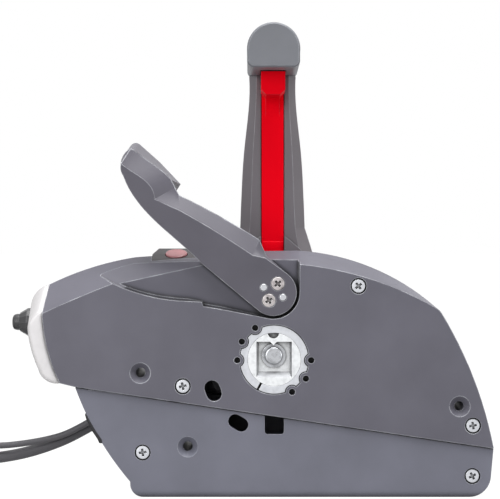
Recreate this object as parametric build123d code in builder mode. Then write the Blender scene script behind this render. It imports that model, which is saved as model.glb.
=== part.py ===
"""Side-mount remote control box for an outboard motor, in millimetres.

The origin is on the control shaft's axis, in the plane of the mounting face. +Z is up, +Y runs from the
mounting face towards the operator's side, and +X runs along the box towards its pointed end. Profiles are
drawn in planes parallel to the mounting face, with X to the right and Z up, as the box looks from the wall.
"""
import math
import os

from build123d import *

# Housing, seen from the wall: X and Z of the corners and of the points that its curves pass through
BODY_DEPTH = 76.0
PARTING_Y = BODY_DEPTH / 2
WALL = 3.0
CROWN_DEPTH = 28.0
LOWER_INSET = 1.8
SEAM_GAP = 0.6
FLOOR_Z = -95.0
END_FOOT = (-148.0, -16.4)
END_MID = (-160.0, 27.0)
END_TOP_RIDGE = (-158.6, 51.3)
END_TOP_NEAR = (-160.3, 31.8)
SEAM_LEFT = (-137.5, -18.9)
SEAM_RIGHT = (151.6, -61.4)
RIGHT_MID = (137.6, -12.5)
RIGHT_TOP = (115.2, 32.8)
TOE_LEFT = (-99.5, -84.5)
LEFT_MID = (-124.0, -49.2)
FOOT_ROUND = 9.0
TOE_ROUND = 15.0
TOE_RIGHT_X = 148.5
RIDGE_CURVE = [END_TOP_RIDGE, (-124.4, 64.6), (-97.6, 70.6)]
RIDGE_CREST = [(-97.6, 70.6), (-40.0, 73.8), (17.8, 75.2)]
RIDGE_FALL = [(17.8, 75.2), (68.0, 63.9), (113.5, 36.2)]
NEAR_CURVE = [END_TOP_NEAR, (-124.4, 47.4), (-97.6, 57.6)]
NEAR_CREST = [(-97.6, 57.6), (-40.0, 65.0), (17.8, 65.8)]
NEAR_FALL = [(17.8, 65.8), (66.0, 55.8), (113.5, 34.6)]

# Mounting holes for 1/4 inch bolts, right through the box
MOUNT_POINTS = [(-92.5, -9.3), (-59.8, -60.4), (128.1, -32.3)]
MOUNT_R = 3.35
MOUNT_MOUTH_R = 7.1
MOUNT_MOUTH_DEPTH = 4.2
BOSS_WALL = 3.4
MOUNT_SEAT_R = 7.5
MOUNT_SEAT = 4.0

# Cover screws: pan heads in shallow rings
SCREW_POINTS_UPPER = [(-63.1, -18.4), (58.2, 50.8), (137.2, -45.6)]
SCREW_POINTS_LOWER = [(-90.9, -64.3), (137.0, -80.6)]
SCREW_R = 2.0
SCREW_HEAD_R = 4.8
SCREW_HEAD_HEIGHT = 1.9
SCREW_RECESS_R = 5.5
SCREW_RECESS_DEPTH = 2.2
SCREW_END_Y = PARTING_Y + 20.0
SCREW_FIT = 0.1
PHILLIPS_WIDTH = 1.1
PHILLIPS_SPAN = 5.0
PHILLIPS_DEPTH = 1.2

# Adjusting slots in the back covers
SLOT_A = (-42.2, -21.5)
SLOT_A_TURN = -70.0
SLOT_B = (-24.8, -43.9)
SLOT_B_TURN = -30.0
SLOT_LENGTH = 14.6
SLOT_A_WIDTH = 10.6
SLOT_B_WIDTH = 9.7
SLOT_C_X = (-6.5, 6.8)
SLOT_C_BOTTOM = -51.7
SLOT_C_ROUND = 2.0
WINDOW_X = (-100.0, 112.0)
WINDOW_HALF = 5.0

# Index ring and shaft disc in the middle of the back
RING_R = 23.6
RING_Y = 0.6
RING_THICK = 4.4
RING_GAP = 0.5
INDEX_ANGLES = [121.0, 151.0, 181.0, -1.0, -31.0, -61.0]
INDEX_CIRCLE_R = 25.5
INDEX_HOLE_R = 2.15
INDEX_LOBE_R = 4.4
INDEX_HOLE_DEPTH = 6.5
SPLIT_ANGLE = 241.0
SPLIT_WIDTH = 1.6
DISC_R = 18.35
DISC_GAP = 0.15
POCKET_SIDE = 24.6
POCKET_FLOOR_X = 21.4
POCKET_FLOOR_Z = 20.6
POCKET_FLOOR_RISE = 1.9
POCKET_DEPTH = 3.6
DISC_BACK_GAP = 0.3
CRESCENT_AT = (-0.5, 18.5)
CRESCENT_R = 3.9
CRESCENT_DEPTH = 3.0
TOOTH_HALF = 2.4
TOOTH_HEIGHT = 2.4
TOOTH_THICK = 1.0
BOLT_AT = (-0.3, 2.6)
WASHER_R = 8.3
WASHER_THICK = 1.2
BOLT_END_R = 6.1
BOLT_END_ROUND = 1.3
BOLT_TOP_Y = 0.9
BOLT_SHANK_R = 3.0
BOLT_SHANK_LENGTH = 12.0

# Control shaft and what it carries inside
NECK_R = 15.0
NECK_END_Y = 13.0
SHAFT_R = 10.0
RUNNING_FIT = 0.05
CUP_WALL = 3.0
CUP_R = 31.0
ARM_PLATE_Y = 20.0
ARM_PLATE_THICK = 5.0
ARM_HUB_R = 15.0
ARM_HUB_LENGTH = 9.0
ARM_REACH = 40.0
ARM_TURNS = [205.0, 335.0]
ARM_EYE_R = 7.0
CABLE_PIN_R = 3.0
CABLE_PIN_LENGTH = 15.0
CABLE_PIN_HEAD = 2.0
SHAFT_END_Y = BODY_DEPTH + 14.0
CIRCLIP_THICK = 1.5
CIRCLIP_SINK = 0.8
CIRCLIP_RIM = 3.0
BUSH_WALL = 3.0
BUSH_LENGTH = 12.0
BUSH_FLANGE_R = 17.0
BUSH_FLANGE = 1.6

# Fast idle lever on its own pivot, drawn from the pivot
PIVOT = (-0.7, 46.4)
LEVER_HUB_R = 16.2
LEVER_Y = 0.5
LEVER_THICK = 7.9
LEVER_GAP = 0.4
LEVER_FOOT = (-10.2, -12.6)
LEVER_LOW_EDGE = [(-49.1, 19.7), (-77.3, 45.3), (-97.5, 68.1), (-103.6, 80.5)]
LEVER_NEAR = {
    "tip": [(-105.4, 85.0), (-105.2, 89.2)],
    "blade": [(-94.0, 81.2), (-84.3, 72.5)],
    "notch": [(-81.9, 64.2), (-64.9, 56.6)],
    "facet": [(-40.3, 42.4), (-13.9, 25.4)],
    "heel": [(-5.6, 23.9), (8.6, 13.7)],
}
LEVER_FAR = {
    "tip": [(-105.6, 91.5), (-98.6, 100.2)],
    "blade": [(-84.5, 89.6), (-70.8, 78.2)],
    "notch": [(-67.8, 72.4), (-65.4, 67.6)],
    "facet": [(-44.7, 57.1), (-9.6, 36.6)],
    "heel": [(-4.6, 25.4), (10.0, 12.7)],
}
PADDLE_NEAR = [(-70.8, 78.2), (-84.5, 89.6), (-98.6, 100.2), (-105.4, 94.6), (-98.0, 88.0), (-74.0, 70.0)]
PADDLE_FAR = [(-65.3, 76.1), (-80.0, 91.6), (-96.8, 106.6), (-104.0, 101.6), (-95.0, 92.6), (-70.0, 68.6)]
PADDLE_ROUNDS = [0.6, 0.6, 4.2, 4.2, 0.6, 0.6]
PADDLE_LENGTH = 26.0
LEVER_SCREWS = [(3.2, 6.0), (-3.0, -5.6)]
LEVER_PINS = [(-6.6, 3.4), (6.7, -3.4)]
LEVER_SCREW_HEAD_R = 4.7
LEVER_PIN_R = 2.55
LEVER_SCREW_SINK = 1.6
FLANGE_R = 13.0
FLANGE_THICK = 2.6
IDLE_SHAFT_R = 6.0
IDLE_SHAFT_LENGTH = 24.0
IDLE_BUSH_WALL = 2.5
IDLE_BUSH_LENGTH = 8.0
CAM_R = 9.0
CAM_NOSE_R = 4.0
CAM_REACH = 14.0
CAM_THICK = 5.0
CAM_Y = 24.0

# Moulded pocket that the fast idle lever closes into
POCKET_RIM = [(-121.5, 57.6), (-92.0, 45.2), (-60.3, 40.3)]
POCKET_STEP = [(-50.0, 39.8), (-49.0, 36.8), (-34.0, 34.3)]
POCKET_JOG_RISE = 0.3
POCKET_ARC_R = 18.3
POCKET_ARC_START = 16.0
LEDGE_Y = 6.0
LEDGE_WIDTH = 1.7
POCKET_TOP_Z = 110.0
FLOOR_Y = LEVER_Y + LEVER_THICK + LEVER_GAP
SLOPE_X = (-121.0, -30.0)
SLOPE_NEAR = [(-105.0, 52.9), (-48.5, 65.3)]
SLOPE_RISE = 1.187
SLOPE_WALL = 3.4

# Satin end bezel with the key switch
BEZEL_RIDGE = [END_TOP_RIDGE, (-167.9, 45.6), (-171.5, 33.0), (-169.2, 13.6), (-163.0, -6.6)]
BEZEL_NEAR = [END_TOP_NEAR, (-167.3, 28.4), (-170.2, 19.0), (-167.8, 6.6), (-163.0, -6.6)]
BEZEL_HEEL = (-158.2, -14.0)
BEZEL_WALL = 2.6
BEZEL_EDGE = 1.2
KEY_AXIS_Y = PARTING_Y
KEY_AXIS_Z = 24.3
KEY_BARREL_R = 9.0
KEY_BARREL_LENGTH = 44.0
KEY_NUT_R = 10.4
KEY_NUT_NOSE_R = 8.0
KEY_NUT_LENGTH = 10.4
KEY_KNOB_R = 6.0
KEY_KNOB_PROUD = 5.4
KEY_SLOT_WIDTH = 2.2
KEY_SLOT_LENGTH = 8.0
KEY_SLOT_DEPTH = 2.0
KEY_SEAT_X = -170.2
KEY_NUT_END_X = KEY_SEAT_X - KEY_NUT_LENGTH
KEY_KNOB_END_X = KEY_NUT_END_X - KEY_KNOB_PROUD
KEY_STEM_R = 4.0
KEY_KNOB_EDGE = 0.8

# Stop switch pad on the crown
PAD_AT = (-63.5, PARTING_Y - 5.0, 67.8)
PAD_TILT = 21.0
PAD_LENGTH = 45.0
PAD_WIDTH = 24.0
PAD_HEIGHT = 5.2
PAD_SINK = 3.5
PAD_CORNER = (3.9, 11.0)
PAD_CORNER_ROUND = 1.2
STOP_AT_X = -5.4
STOP_R = 7.8
STOP_GAP = 0.35
STOP_PROUD = 1.2
STOP_LENGTH = 5.6
STOP_BODY_R = 7.0
STOP_BODY_LENGTH = 16.0
STOP_WELL = -2.6
STOP_ROUND = 1.0
PAD_ROUND = 0.8

# Handle on the operator's side
HANDLE_GAP = 0.4
HUB_BOSS = 3.6
HUB_PEAK = (0.0, 93.0)
HUB_SHOULDER = (21.0, 76.0)
HANDLE_THICK = 19.0
HANDLE_Y = BODY_DEPTH + HANDLE_GAP + HUB_BOSS
HANDLE_HUB_R = 44.0
RIDGE_HUB_R = HANDLE_HUB_R - 3.0
HUB_BOSS_R = HANDLE_HUB_R - 4.0
RIDGE_DEPTH = 6.5
RIDGE_SIDE = [(19.6, 75.0), (16.8, 92.0), (15.6, 118.0), (14.4, 150.0), (12.2, 188.0), (12.4, 212.0)]
TONGUE = (20.0, 6.0, 18.0)
HANDLE_SIDE = [(29.4, 75.0), (24.0, 92.0), (23.0, 118.0), (21.0, 150.0), (17.2, 188.0), (18.0, 212.0)]
HUB_ARC_END = 15.0
CHANNEL_WIDTH = 17.4
CHANNEL_DEPTH = 8.0
CHANNEL_FOOT_Z = 56.0
HANDLE_ROUND = 3.0
GRIP_NEAR_Y = HANDLE_Y - 52.6
GRIP_CAP_THICK = 2.8
GRIP_END_Y = HANDLE_Y + 21.0
GRIP_HALF_WIDTH = 18.7
GRIP_BOTTOM_Z = 204.8
GRIP_WIDEST_Z = 215.4
GRIP_TOP_Z = 236.6
GRIP_CORNER = 4.5
GRIP_FAR_ROUND = 4.0
GRIP_BEVEL = 2.2
HUB_CAP_R = HANDLE_HUB_R - 17.0
HUB_CAP_THICK = 3.2
HUB_CAP_SINK = 1.5
HANDLE_BOLT_R = 5.0
HANDLE_BOLT_HEAD_R = 8.0
HANDLE_BOLT_HEAD = 4.0
HANDLE_BOLT_GRIP = 20.0
HANDLE_BOLT_WEB = 3.0
HANDLE_BOLT_FIT = 0.2

# Red neutral lock bar in the handle's channel
BAR_WIDTH = 16.2
BAR_TOP_Z = 204.2
BAR_BLOCK_FOOT_Z = 187.5
BAR_FOOT_Z = 78.0
BAR_FRONT_Y = HANDLE_Y - 1.0
BAR_THICK = 6.2
BLOCK_WIDTH = 17.4
BLOCK_FRONT_Y = BAR_FRONT_Y - 33.0
BLOCK_CORNER = 3.6
BAR_NECK_ROUND = 14.0
BAR_TRAVEL = 5.0
BAR_POCKET_GAP = 0.5
BAR_TONGUE_SET = 2.0
BAR_TONGUE_THICK = 3.0
BAR_TONGUE_WIDTH = 8.0
BAR_TONGUE_LENGTH = 12.0

# Trim rocker in the operator's end of the grip
ROCKER_SIZE = (13.0, 22.0)
ROCKER_CENTRE_Z = 219.5
ROCKER_THICK = 4.4
ROCKER_SINK = 2.8
ROCKER_GAP = 0.5
ROCKER_FLOOR = 1.8
ROCKER_PIN_R = 1.2
ROCKER_PIN_SET = 1.7
ROCKER_PIN_HOLD = 2.0

# Neutral safety switch beside the drive arm
NEUTRAL_SWITCH_AT = (50.0, 8.0)
NEUTRAL_SWITCH_SIZE = (20.0, 10.0)
NEUTRAL_SWITCH_HEIGHT = 7.0

# Cable grommet in the slanted edge of the lower cover, measured along that edge from its middle
GROMMET_SPAN = (-9.0, 13.0)
GROMMET_Y = (PARTING_Y - 24.0, PARTING_Y - 3.0)
GROMMET_THICK = 2.3
GROMMET_LIP = 1.5
COLLAR = 1.2
COLLAR_WALL = 1.4
HARNESS_D = 8.0
TRIM_D = 4.4
WIRE_D = 1.9
HARNESS_EXIT = (3.2, PARTING_Y - 9.0)
TRIM_EXIT = (6.5, PARTING_Y - 17.0)

# Main harness: from the grommet to the coil, and from the coil to the plug
COIL_CENTRE = (-278.0, 72.0)
COIL_R = (32.0, 65.0)
COIL_TOP_Z = -62.8
HARNESS_ROUTE = [
    (-141.6, HARNESS_EXIT[1], -55.7), (-157.5, HARNESS_EXIT[1], -62.4), (-175.0, 28.2, -67.8),
    (-193.0, 26.0, -70.9),
    (-206.0, 20.6, -71.0), (-218.0, 15.2, -69.4), (-230.5, 12.0, -67.0), (-245.0, 12.0, -67.0),
]
TAIL_ROUTE = [
    (-311.0, 12.0, -90.8), (-321.0, 12.0, -90.8), (-332.0, 12.0, -88.6), (-343.0, 12.0, -86.0),
    (-353.0, 12.0, -86.0),
]
PLUG_BOOT_R = 7.0
PLUG_BOOT_LENGTH = 12.0
PLUG_SIZE = (24.0, 18.0)
PLUG_LENGTH = 34.0
PLUG_ROUND = 4.0
PLUG_WALL = 2.0
PLUG_MOUTH = 14.0
PLUG_PIN_COUNTS = (4, 2)
PLUG_PIN_STEP = 4.5
PLUG_PIN_R = 1.0
PLUG_PIN_LENGTH = 7.0

# Trim lead: over the top of the coil, and its three wires with their crimped terminals
TRIM_ROUTE = [
    (-143.3, TRIM_EXIT[1], -52.8), (-157.0, TRIM_EXIT[1], -57.0), (-174.0, 21.4, -60.2),
    (-193.0, 21.8, -62.3), (-214.0, 22.2, -61.4), (-236.0, 22.8, -60.5), (-263.0, 23.0, -60.5),
    (-294.0, 24.4, -60.5),
    (-319.0, 42.0, -60.5), (-328.5, 72.0, -60.5), (-318.6, 102.0, -60.5), (-294.0, 120.0, -60.5),
    (-279.0, 120.0, -60.5),
]
WIRE_ROUTES = {
    "red": [
        (-278.85, 121.04, -61.1), (-261.0, 122.6, -61.2), (-236.0, 105.0, -61.2), (-226.5, 75.0, -61.2),
        (-229.5, 58.0, -61.2),
    ],
    "blue": [
        (-278.85, 120.0, -59.3), (-262.0, 118.6, -61.0), (-240.0, 101.6, -61.2), (-232.0, 73.0, -61.2),
        (-235.4, 57.5, -61.2),
    ],
    "green": [
        (-278.85, 118.96, -61.1), (-263.0, 116.0, -61.2), (-244.0, 98.6, -61.2), (-237.6, 72.0, -61.2),
        (-241.2, 56.0, -61.2),
    ],
}
TERMINAL_R = 1.5
TERMINAL_PIN_R = 0.8
TERMINAL_SLEEVE = 9.0
TERMINAL_PIN = 11.0


# The slanted edge's curve, with the directions up along it and out of it at its middle
EDGE_ARC = ThreePointArc(SEAM_LEFT, LEFT_MID, TOE_LEFT)
EDGE_UP = (Vector(*SEAM_LEFT) - Vector(*TOE_LEFT)).normalized()
EDGE_OUT = Vector(-EDGE_UP.Y, EDGE_UP.X)

# The stop button's way, square to its pad
PAD_AXIS = Axis(PAD_AT, (0, -math.sin(math.radians(PAD_TILT)), math.cos(math.radians(PAD_TILT))))


def at_depth(y):
    """A plane parallel to the mounting face, y behind it, with X to the right and Z up."""
    return Plane.XZ.offset(-y)


def seam_z(x):
    """Height of the slanted seam between the two back covers."""
    run = (x - SEAM_LEFT[0]) / (SEAM_RIGHT[0] - SEAM_LEFT[0])
    return SEAM_LEFT[1] + run * (SEAM_RIGHT[1] - SEAM_LEFT[1])


def upper_outline(plane, curve, crest, fall, inset=0.0):
    """Outline of the upper half on a plane: end arc, seam, right side and the three stretches of the top."""
    with BuildSketch(plane) as outline:
        with BuildLine():
            ThreePointArc(curve[0], END_MID, END_FOOT)
            Line(END_FOOT, SEAM_LEFT)
            Line(SEAM_LEFT, SEAM_RIGHT)
            ThreePointArc(SEAM_RIGHT, RIGHT_MID, RIGHT_TOP)
            Line(RIGHT_TOP, fall[-1])
            for stretch in (fall, crest, curve):
                ThreePointArc(*reversed(stretch))
        make_face()
        if inset:
            offset(amount=-inset, kind=Kind.INTERSECTION, mode=Mode.REPLACE)
    return outline.sketch


def lower_outline(plane, inset=0.0, drop=0.0):
    """Outline of the lower half on a plane, its top edge a drop below the seam."""
    with BuildSketch(plane) as outline:
        with BuildLine():
            left, right = (SEAM_LEFT[0], SEAM_LEFT[1] - drop), (SEAM_RIGHT[0], SEAM_RIGHT[1] - drop)
            Line(right, left)
            ThreePointArc(left, LEFT_MID, TOE_LEFT)
            FilletPolyline(TOE_LEFT, (TOE_LEFT[0], FLOOR_Z), (0.0, FLOOR_Z), radius=FOOT_ROUND)
            FilletPolyline((0.0, FLOOR_Z), (TOE_RIGHT_X, FLOOR_Z), right, radius=TOE_ROUND)
        make_face()
        if inset:
            offset(amount=-inset, kind=Kind.INTERSECTION, mode=Mode.REPLACE)
    return outline.sketch


def ridge_half(plane, inset=0.0):
    return upper_outline(plane, RIDGE_CURVE, RIDGE_CREST, RIDGE_FALL, inset)


def near_half(plane, inset=0.0):
    return upper_outline(plane, NEAR_CURVE, NEAR_CREST, NEAR_FALL, inset)


def post(x, z, near_y, far_y, radius, mode=Mode.ADD):
    """A round post or bore along Y from one depth to another, added to or cut from the part being built."""
    with BuildSketch(at_depth(near_y)) as circle:
        with Locations((x, z)):
            Circle(radius)
    extrude(circle.sketch, amount=near_y - far_y, mode=mode)


def stadium(x, z, turn, length, width, near_y, far_y, mode=Mode.SUBTRACT):
    """A round-ended slot through a wall."""
    with BuildSketch(at_depth(near_y)) as slot:
        with Locations(Location((x, z, 0), (0, 0, turn))):
            SlotOverall(length, width)
    extrude(slot.sketch, amount=near_y - far_y, mode=mode)


def funnel(x, z, face_y):
    """The countersunk mouth of a mounting bore."""
    with BuildSketch(at_depth(face_y)) as mouth:
        with Locations((x, z)):
            Circle(MOUNT_MOUTH_R)
    with BuildSketch(at_depth(face_y + MOUNT_MOUTH_DEPTH)) as throat:
        with Locations((x, z)):
            Circle(MOUNT_R)
    loft([mouth.sketch, throat.sketch], mode=Mode.SUBTRACT)


def mount_tube(x, z, face_y, far_y):
    """A mounting tube in a back cover, with its funnel mouth in the mounting face."""
    post(x, z, face_y + 0.5 * WALL, far_y, MOUNT_R + BOSS_WALL)
    post(x, z, face_y + 0.5 * WALL, face_y + MOUNT_MOUTH_DEPTH + WALL, MOUNT_MOUTH_R + 0.5 * WALL)
    post(x, z, face_y, far_y, MOUNT_R, Mode.SUBTRACT)
    funnel(x, z, face_y)


def screw_post(x, z, face_y, far_y):
    """A post for a cover screw, with the shallow ring that its head sits in."""
    post(x, z, face_y + 0.5 * WALL, face_y + SCREW_RECESS_DEPTH + WALL, SCREW_RECESS_R + 0.5 * WALL)
    post(x, z, face_y + 0.5 * WALL, far_y, SCREW_R + BOSS_WALL)
    post(x, z, face_y, face_y + SCREW_RECESS_DEPTH, SCREW_RECESS_R, Mode.SUBTRACT)
    post(x, z, face_y, far_y, SCREW_R + SCREW_FIT, Mode.SUBTRACT)


def pocket_shape(near_y, radius, lift, margin=0.0):
    """Outline of one step of the lever pocket: its lower line, the arc round the pivot and the open top."""
    px, pz = PIVOT
    turn = math.radians(POCKET_ARC_START)
    foot = (px - radius * math.sin(turn), pz - radius * math.cos(turn))
    rim = [(x, z + lift) for x, z in POCKET_RIM]
    jog, *lower = POCKET_STEP
    step = [(jog[0], jog[1] + min(lift, POCKET_JOG_RISE)), *((x, z + lift) for x, z in lower)]
    with BuildSketch(at_depth(near_y)) as shape:
        with BuildLine():
            ThreePointArc(*rim)
            Polyline(rim[-1], *step, foot)
            RadiusArc(foot, (px + radius, pz), -radius)
            Polyline((px + radius, pz), (px + radius, POCKET_TOP_Z), (rim[0][0], POCKET_TOP_Z), rim[0])
        make_face()
        if margin:
            offset(amount=margin, kind=Kind.INTERSECTION, mode=Mode.REPLACE)
    return shape.sketch


def slope_shape(y, drop=0.0, widen=0.0):
    """Everything above the slope behind the pocket, at one depth, or a drop below it for its backing."""
    (x0, z0), (x1, z1) = SLOPE_NEAR
    left, right = SLOPE_X[0] - widen, SLOPE_X[1] + widen
    lift = SLOPE_RISE * (y - FLOOR_Y) - drop
    heights = [z0 + (z1 - z0) / (x1 - x0) * (x - x0) + lift for x in (left, right)]
    with BuildSketch(at_depth(y)) as shape:
        with BuildLine():
            Polyline(
                (left, heights[0]), (right, heights[1]), (right, POCKET_TOP_Z), (left, POCKET_TOP_Z),
                close=True,
            )
        make_face()
    return shape.sketch


def edge_point(along_edge, out, y):
    """A point beside the slanted edge: how far up it from its middle, how far out of it, and its depth."""
    flat = Vector(*LEFT_MID) + EDGE_UP * along_edge + EDGE_OUT * out
    return Vector(flat.X, y, flat.Y)


def grommet_strip(inner, outer, trim, y):
    """A strip along the slanted edge, from one offset of its curve to another, cut square at its ends."""
    low, high = GROMMET_SPAN[0] + trim, GROMMET_SPAN[1] - trim
    middle = Vector(*LEFT_MID) + EDGE_UP * ((low + high) / 2)
    turn = math.degrees(math.atan2(EDGE_UP.Y, EDGE_UP.X))
    with BuildSketch(at_depth(y)) as strip:
        with Locations(Location((middle.X, middle.Y, 0), (0, 0, turn))):
            Rectangle(high - low, 8 * WALL)
        with Locations(EDGE_ARC.arc_center):
            Circle(EDGE_ARC.radius + outer, mode=Mode.INTERSECT)
        with Locations(EDGE_ARC.arc_center):
            Circle(EDGE_ARC.radius + inner, mode=Mode.SUBTRACT)
    return strip.sketch


def index_places(radius):
    """Centres of the six index holes, or of anything else at their angles."""
    return [(radius * math.cos(math.radians(a)), radius * math.sin(math.radians(a))) for a in INDEX_ANGLES]


def rod(x0, x1, y, z, radius, mode=Mode.ADD):
    """A round bar or bore along X."""
    with BuildSketch(Plane.YZ.offset(x0)) as circle:
        with Locations((y, z)):
            Circle(radius)
    extrude(circle.sketch, amount=x1 - x0, mode=mode)


def band(y0, y1, z0, z1, x0, x1, mode=Mode.ADD):
    """A block between two depths, two heights and two X."""
    with BuildSketch(at_depth(y0)) as face:
        with Locations(((x0 + x1) / 2, (z0 + z1) / 2)):
            Rectangle(x1 - x0, z1 - z0)
    extrude(face.sketch, amount=y0 - y1, mode=mode)


def seam_window(near_y, far_y):
    """The gap through both seam walls that the cables pass inside the box."""
    corners = [(x, seam_z(x) + side * WINDOW_HALF) for x, side in
               ((WINDOW_X[0], -1), (WINDOW_X[1], -1), (WINDOW_X[1], 1), (WINDOW_X[0], 1))]
    with BuildSketch(at_depth(near_y)) as window:
        with BuildLine():
            Polyline(*corners, close=True)
        make_face()
    extrude(window.sketch, amount=near_y - far_y, mode=Mode.SUBTRACT)


def pad_plane(height=0.0):
    """The tilted plane that the stop switch pad stands on."""
    turn = math.radians(PAD_TILT)
    plane = Plane(origin=PAD_AT, x_dir=(1, 0, 0), z_dir=(0, -math.sin(turn), math.cos(turn)))
    return plane.offset(height)


def pad_block(low, high, mode=Mode.ADD):
    """A block standing on the pad's plane, with its two far corners cut off."""
    half_x, half_y = PAD_LENGTH / 2, PAD_WIDTH / 2
    cut_x, cut_y = PAD_CORNER
    with BuildSketch(pad_plane(low)) as block:
        with BuildLine():
            FilletPolyline(
                (-half_x, -half_y), (half_x, -half_y), (half_x, half_y - cut_y), (half_x - cut_x, half_y),
                (cut_x - half_x, half_y), (-half_x, half_y - cut_y), radius=PAD_CORNER_ROUND, close=True,
            )
        make_face()
    extrude(block.sketch, amount=high - low, mode=mode)


def pad_round(radius, low, high, mode=Mode.ADD):
    """A round block or hole under the stop button, square to the pad."""
    with BuildSketch(pad_plane(low)) as circle:
        with Locations((STOP_AT_X, 0)):
            Circle(radius)
    extrude(circle.sketch, amount=high - low, mode=mode)


def cut_for_switches():
    """What the key switch and the stop switch take out of the covers round them."""
    rod(END_MID[0] - 3 * WALL, END_MID[0] + 3 * WALL, KEY_AXIS_Y, KEY_AXIS_Z, KEY_BARREL_R, Mode.SUBTRACT)
    pad_block(-PAD_SINK, PAD_HEIGHT + 2 * STOP_PROUD, Mode.SUBTRACT)
    pad_round(STOP_BODY_R, -PAD_SINK - STOP_BODY_LENGTH, -PAD_SINK, Mode.SUBTRACT)


def finish(piece, name):
    """Names a finished piece and writes it."""
    piece.part.label = name
    export_step(piece.part, f"parts/{name}.step")


def bezel_outline(plane, free, inset=0.0):
    """Outline of the end bezel: against the covers' end arc, and round its free side."""
    with BuildSketch(plane) as outline:
        with BuildLine():
            ThreePointArc(END_FOOT, END_MID, free[0])
            ThreePointArc(*free[:3])
            ThreePointArc(*free[2:])
            ThreePointArc(free[-1], BEZEL_HEEL, END_FOOT)
        make_face()
        if inset:
            offset(amount=-inset, kind=Kind.ARC, mode=Mode.REPLACE)
    return outline.sketch


def at_pivot(points):
    """Points drawn from the fast idle lever's pivot, moved to where it stands."""
    return [(PIVOT[0] + x, PIVOT[1] + z) for x, z in points]


def lever_outline(y, shape):
    """The fast idle lever's outline at a depth: hub, lower edge, tip, blade, notch and facet."""
    tip, blade, notch, facet, heel = (at_pivot(shape[part]) for part in LEVER_NEAR)
    foot, hub_low = at_pivot([LEVER_FOOT, (LEVER_HUB_R * 0.766, -LEVER_HUB_R * 0.643)])
    low = at_pivot(LEVER_LOW_EDGE)
    with BuildSketch(at_depth(y)) as outline:
        with BuildLine():
            ThreePointArc(heel[1], hub_low, foot)
            Line(foot, low[0])
            Spline(*low)
            ThreePointArc(low[-1], *tip)
            Spline(tip[1], *blade, notch[0])
            Line(*notch)
            Spline(notch[1], *facet)
            Polyline(facet[1], *heel)
        make_face()
    return outline.sketch


def paddle_outline(y, corners):
    """The finger paddle's section at a depth."""
    with BuildSketch(at_depth(y)) as outline:
        with BuildLine():
            FilletPolyline(*at_pivot(corners), radius=PADDLE_ROUNDS, close=True)
        make_face()
    return outline.sketch


def handle_outline(y, hub_r, side):
    """The handle arm's outline at a depth: round hub below and a long waisted arm above."""
    turn = math.radians(HUB_ARC_END)
    tangent = (hub_r * math.cos(turn), hub_r * math.sin(turn))
    with BuildSketch(at_depth(y)) as outline:
        with BuildLine():
            ThreePointArc((0, -hub_r), (hub_r * 0.766, -hub_r * 0.643), tangent)
            Spline(tangent, *side[:2])
            Spline(*side[1:])
            Line(side[-1], (0, side[-1][1]))
            mirror(about=Plane.YZ)
        make_face()
    return outline.sketch


def grip_outline(y):
    """The T grip's section: flat below, bulging sides and a round top."""
    half, corner_z = GRIP_HALF_WIDTH, GRIP_BOTTOM_Z
    with BuildSketch(at_depth(y)) as outline:
        with BuildLine():
            ThreePointArc((-half, GRIP_WIDEST_Z), (0, GRIP_TOP_Z), (half, GRIP_WIDEST_Z))
            FilletPolyline(
                (half, GRIP_WIDEST_Z), (half, corner_z), (-half, corner_z), (-half, GRIP_WIDEST_Z),
                radius=GRIP_CORNER,
            )
        make_face()
    return outline.sketch


def collar(exit_at, diameter):
    """A round collar on the grommet, square to the edge, that a cord comes out of."""
    along_edge, y = exit_at
    start = edge_point(along_edge, GROMMET_THICK / 2, y)
    with BuildSketch(Plane(origin=start, z_dir=(EDGE_OUT.X, 0, EDGE_OUT.Y))) as ring:
        Circle(diameter / 2 + COLLAR_WALL)
    extrude(ring.sketch, amount=GROMMET_THICK / 2 + COLLAR)


def tube(name, points, diameter):
    """A cord's tube: straight runs joined by arcs as large as the two runs at each point allow."""
    stops = [Vector(*point) for point in points]
    runs = [after - before for before, after in zip(stops, stops[1:])]
    radii = []
    for before, after in zip(runs, runs[1:]):
        half_turn = math.radians(before.get_angle(after)) / 2
        radii.append(0.45 * min(before.length, after.length) / math.tan(half_turn))
    with BuildPart() as cord:
        with BuildLine():
            path = FilletPolyline(*stops, radius=radii)
        with BuildSketch(Plane(origin=stops[0], z_dir=runs[0])):
            Circle(diameter / 2)
        sweep(path=path)
    ratio = cord.part.volume / (path.length * math.pi * diameter ** 2 / 4)
    bends = [round(r, 1) for r in radii]
    print(name, "length", round(path.length, 1), "radii", bends, "fill", round(ratio, 4))
    finish(cord, name)


def pan_screw(x, z, seat_y, head_r, head_height, end_y):
    """A pan-head screw whose head stands on its seat towards the wall, with a cross recess."""
    with BuildSketch(at_depth(seat_y)) as head:
        with Locations((x, z)):
            Circle(head_r)
    with BuildPart(mode=Mode.PRIVATE) as screw:
        extrude(head.sketch, amount=head_height)
        fillet(screw.edges().group_by(Axis.Y)[0], radius=head_height * 0.6)
        post(x, z, seat_y, end_y, SCREW_R)
        with BuildSketch(at_depth(seat_y - head_height)) as cross:
            with Locations((x, z)):
                Rectangle(PHILLIPS_SPAN, PHILLIPS_WIDTH)
                Rectangle(PHILLIPS_WIDTH, PHILLIPS_SPAN)
        extrude(cross.sketch, amount=-PHILLIPS_DEPTH, mode=Mode.SUBTRACT)
    add(screw.part)


os.makedirs("parts", exist_ok=True)
cup_floor_y = RING_Y + RING_THICK
cup_far_y = cup_floor_y + CUP_WALL
flange_y = LEVER_Y + LEVER_THICK
bush_y = flange_y + FLANGE_THICK + LEVER_GAP
pivot_x, pivot_z = PIVOT

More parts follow.
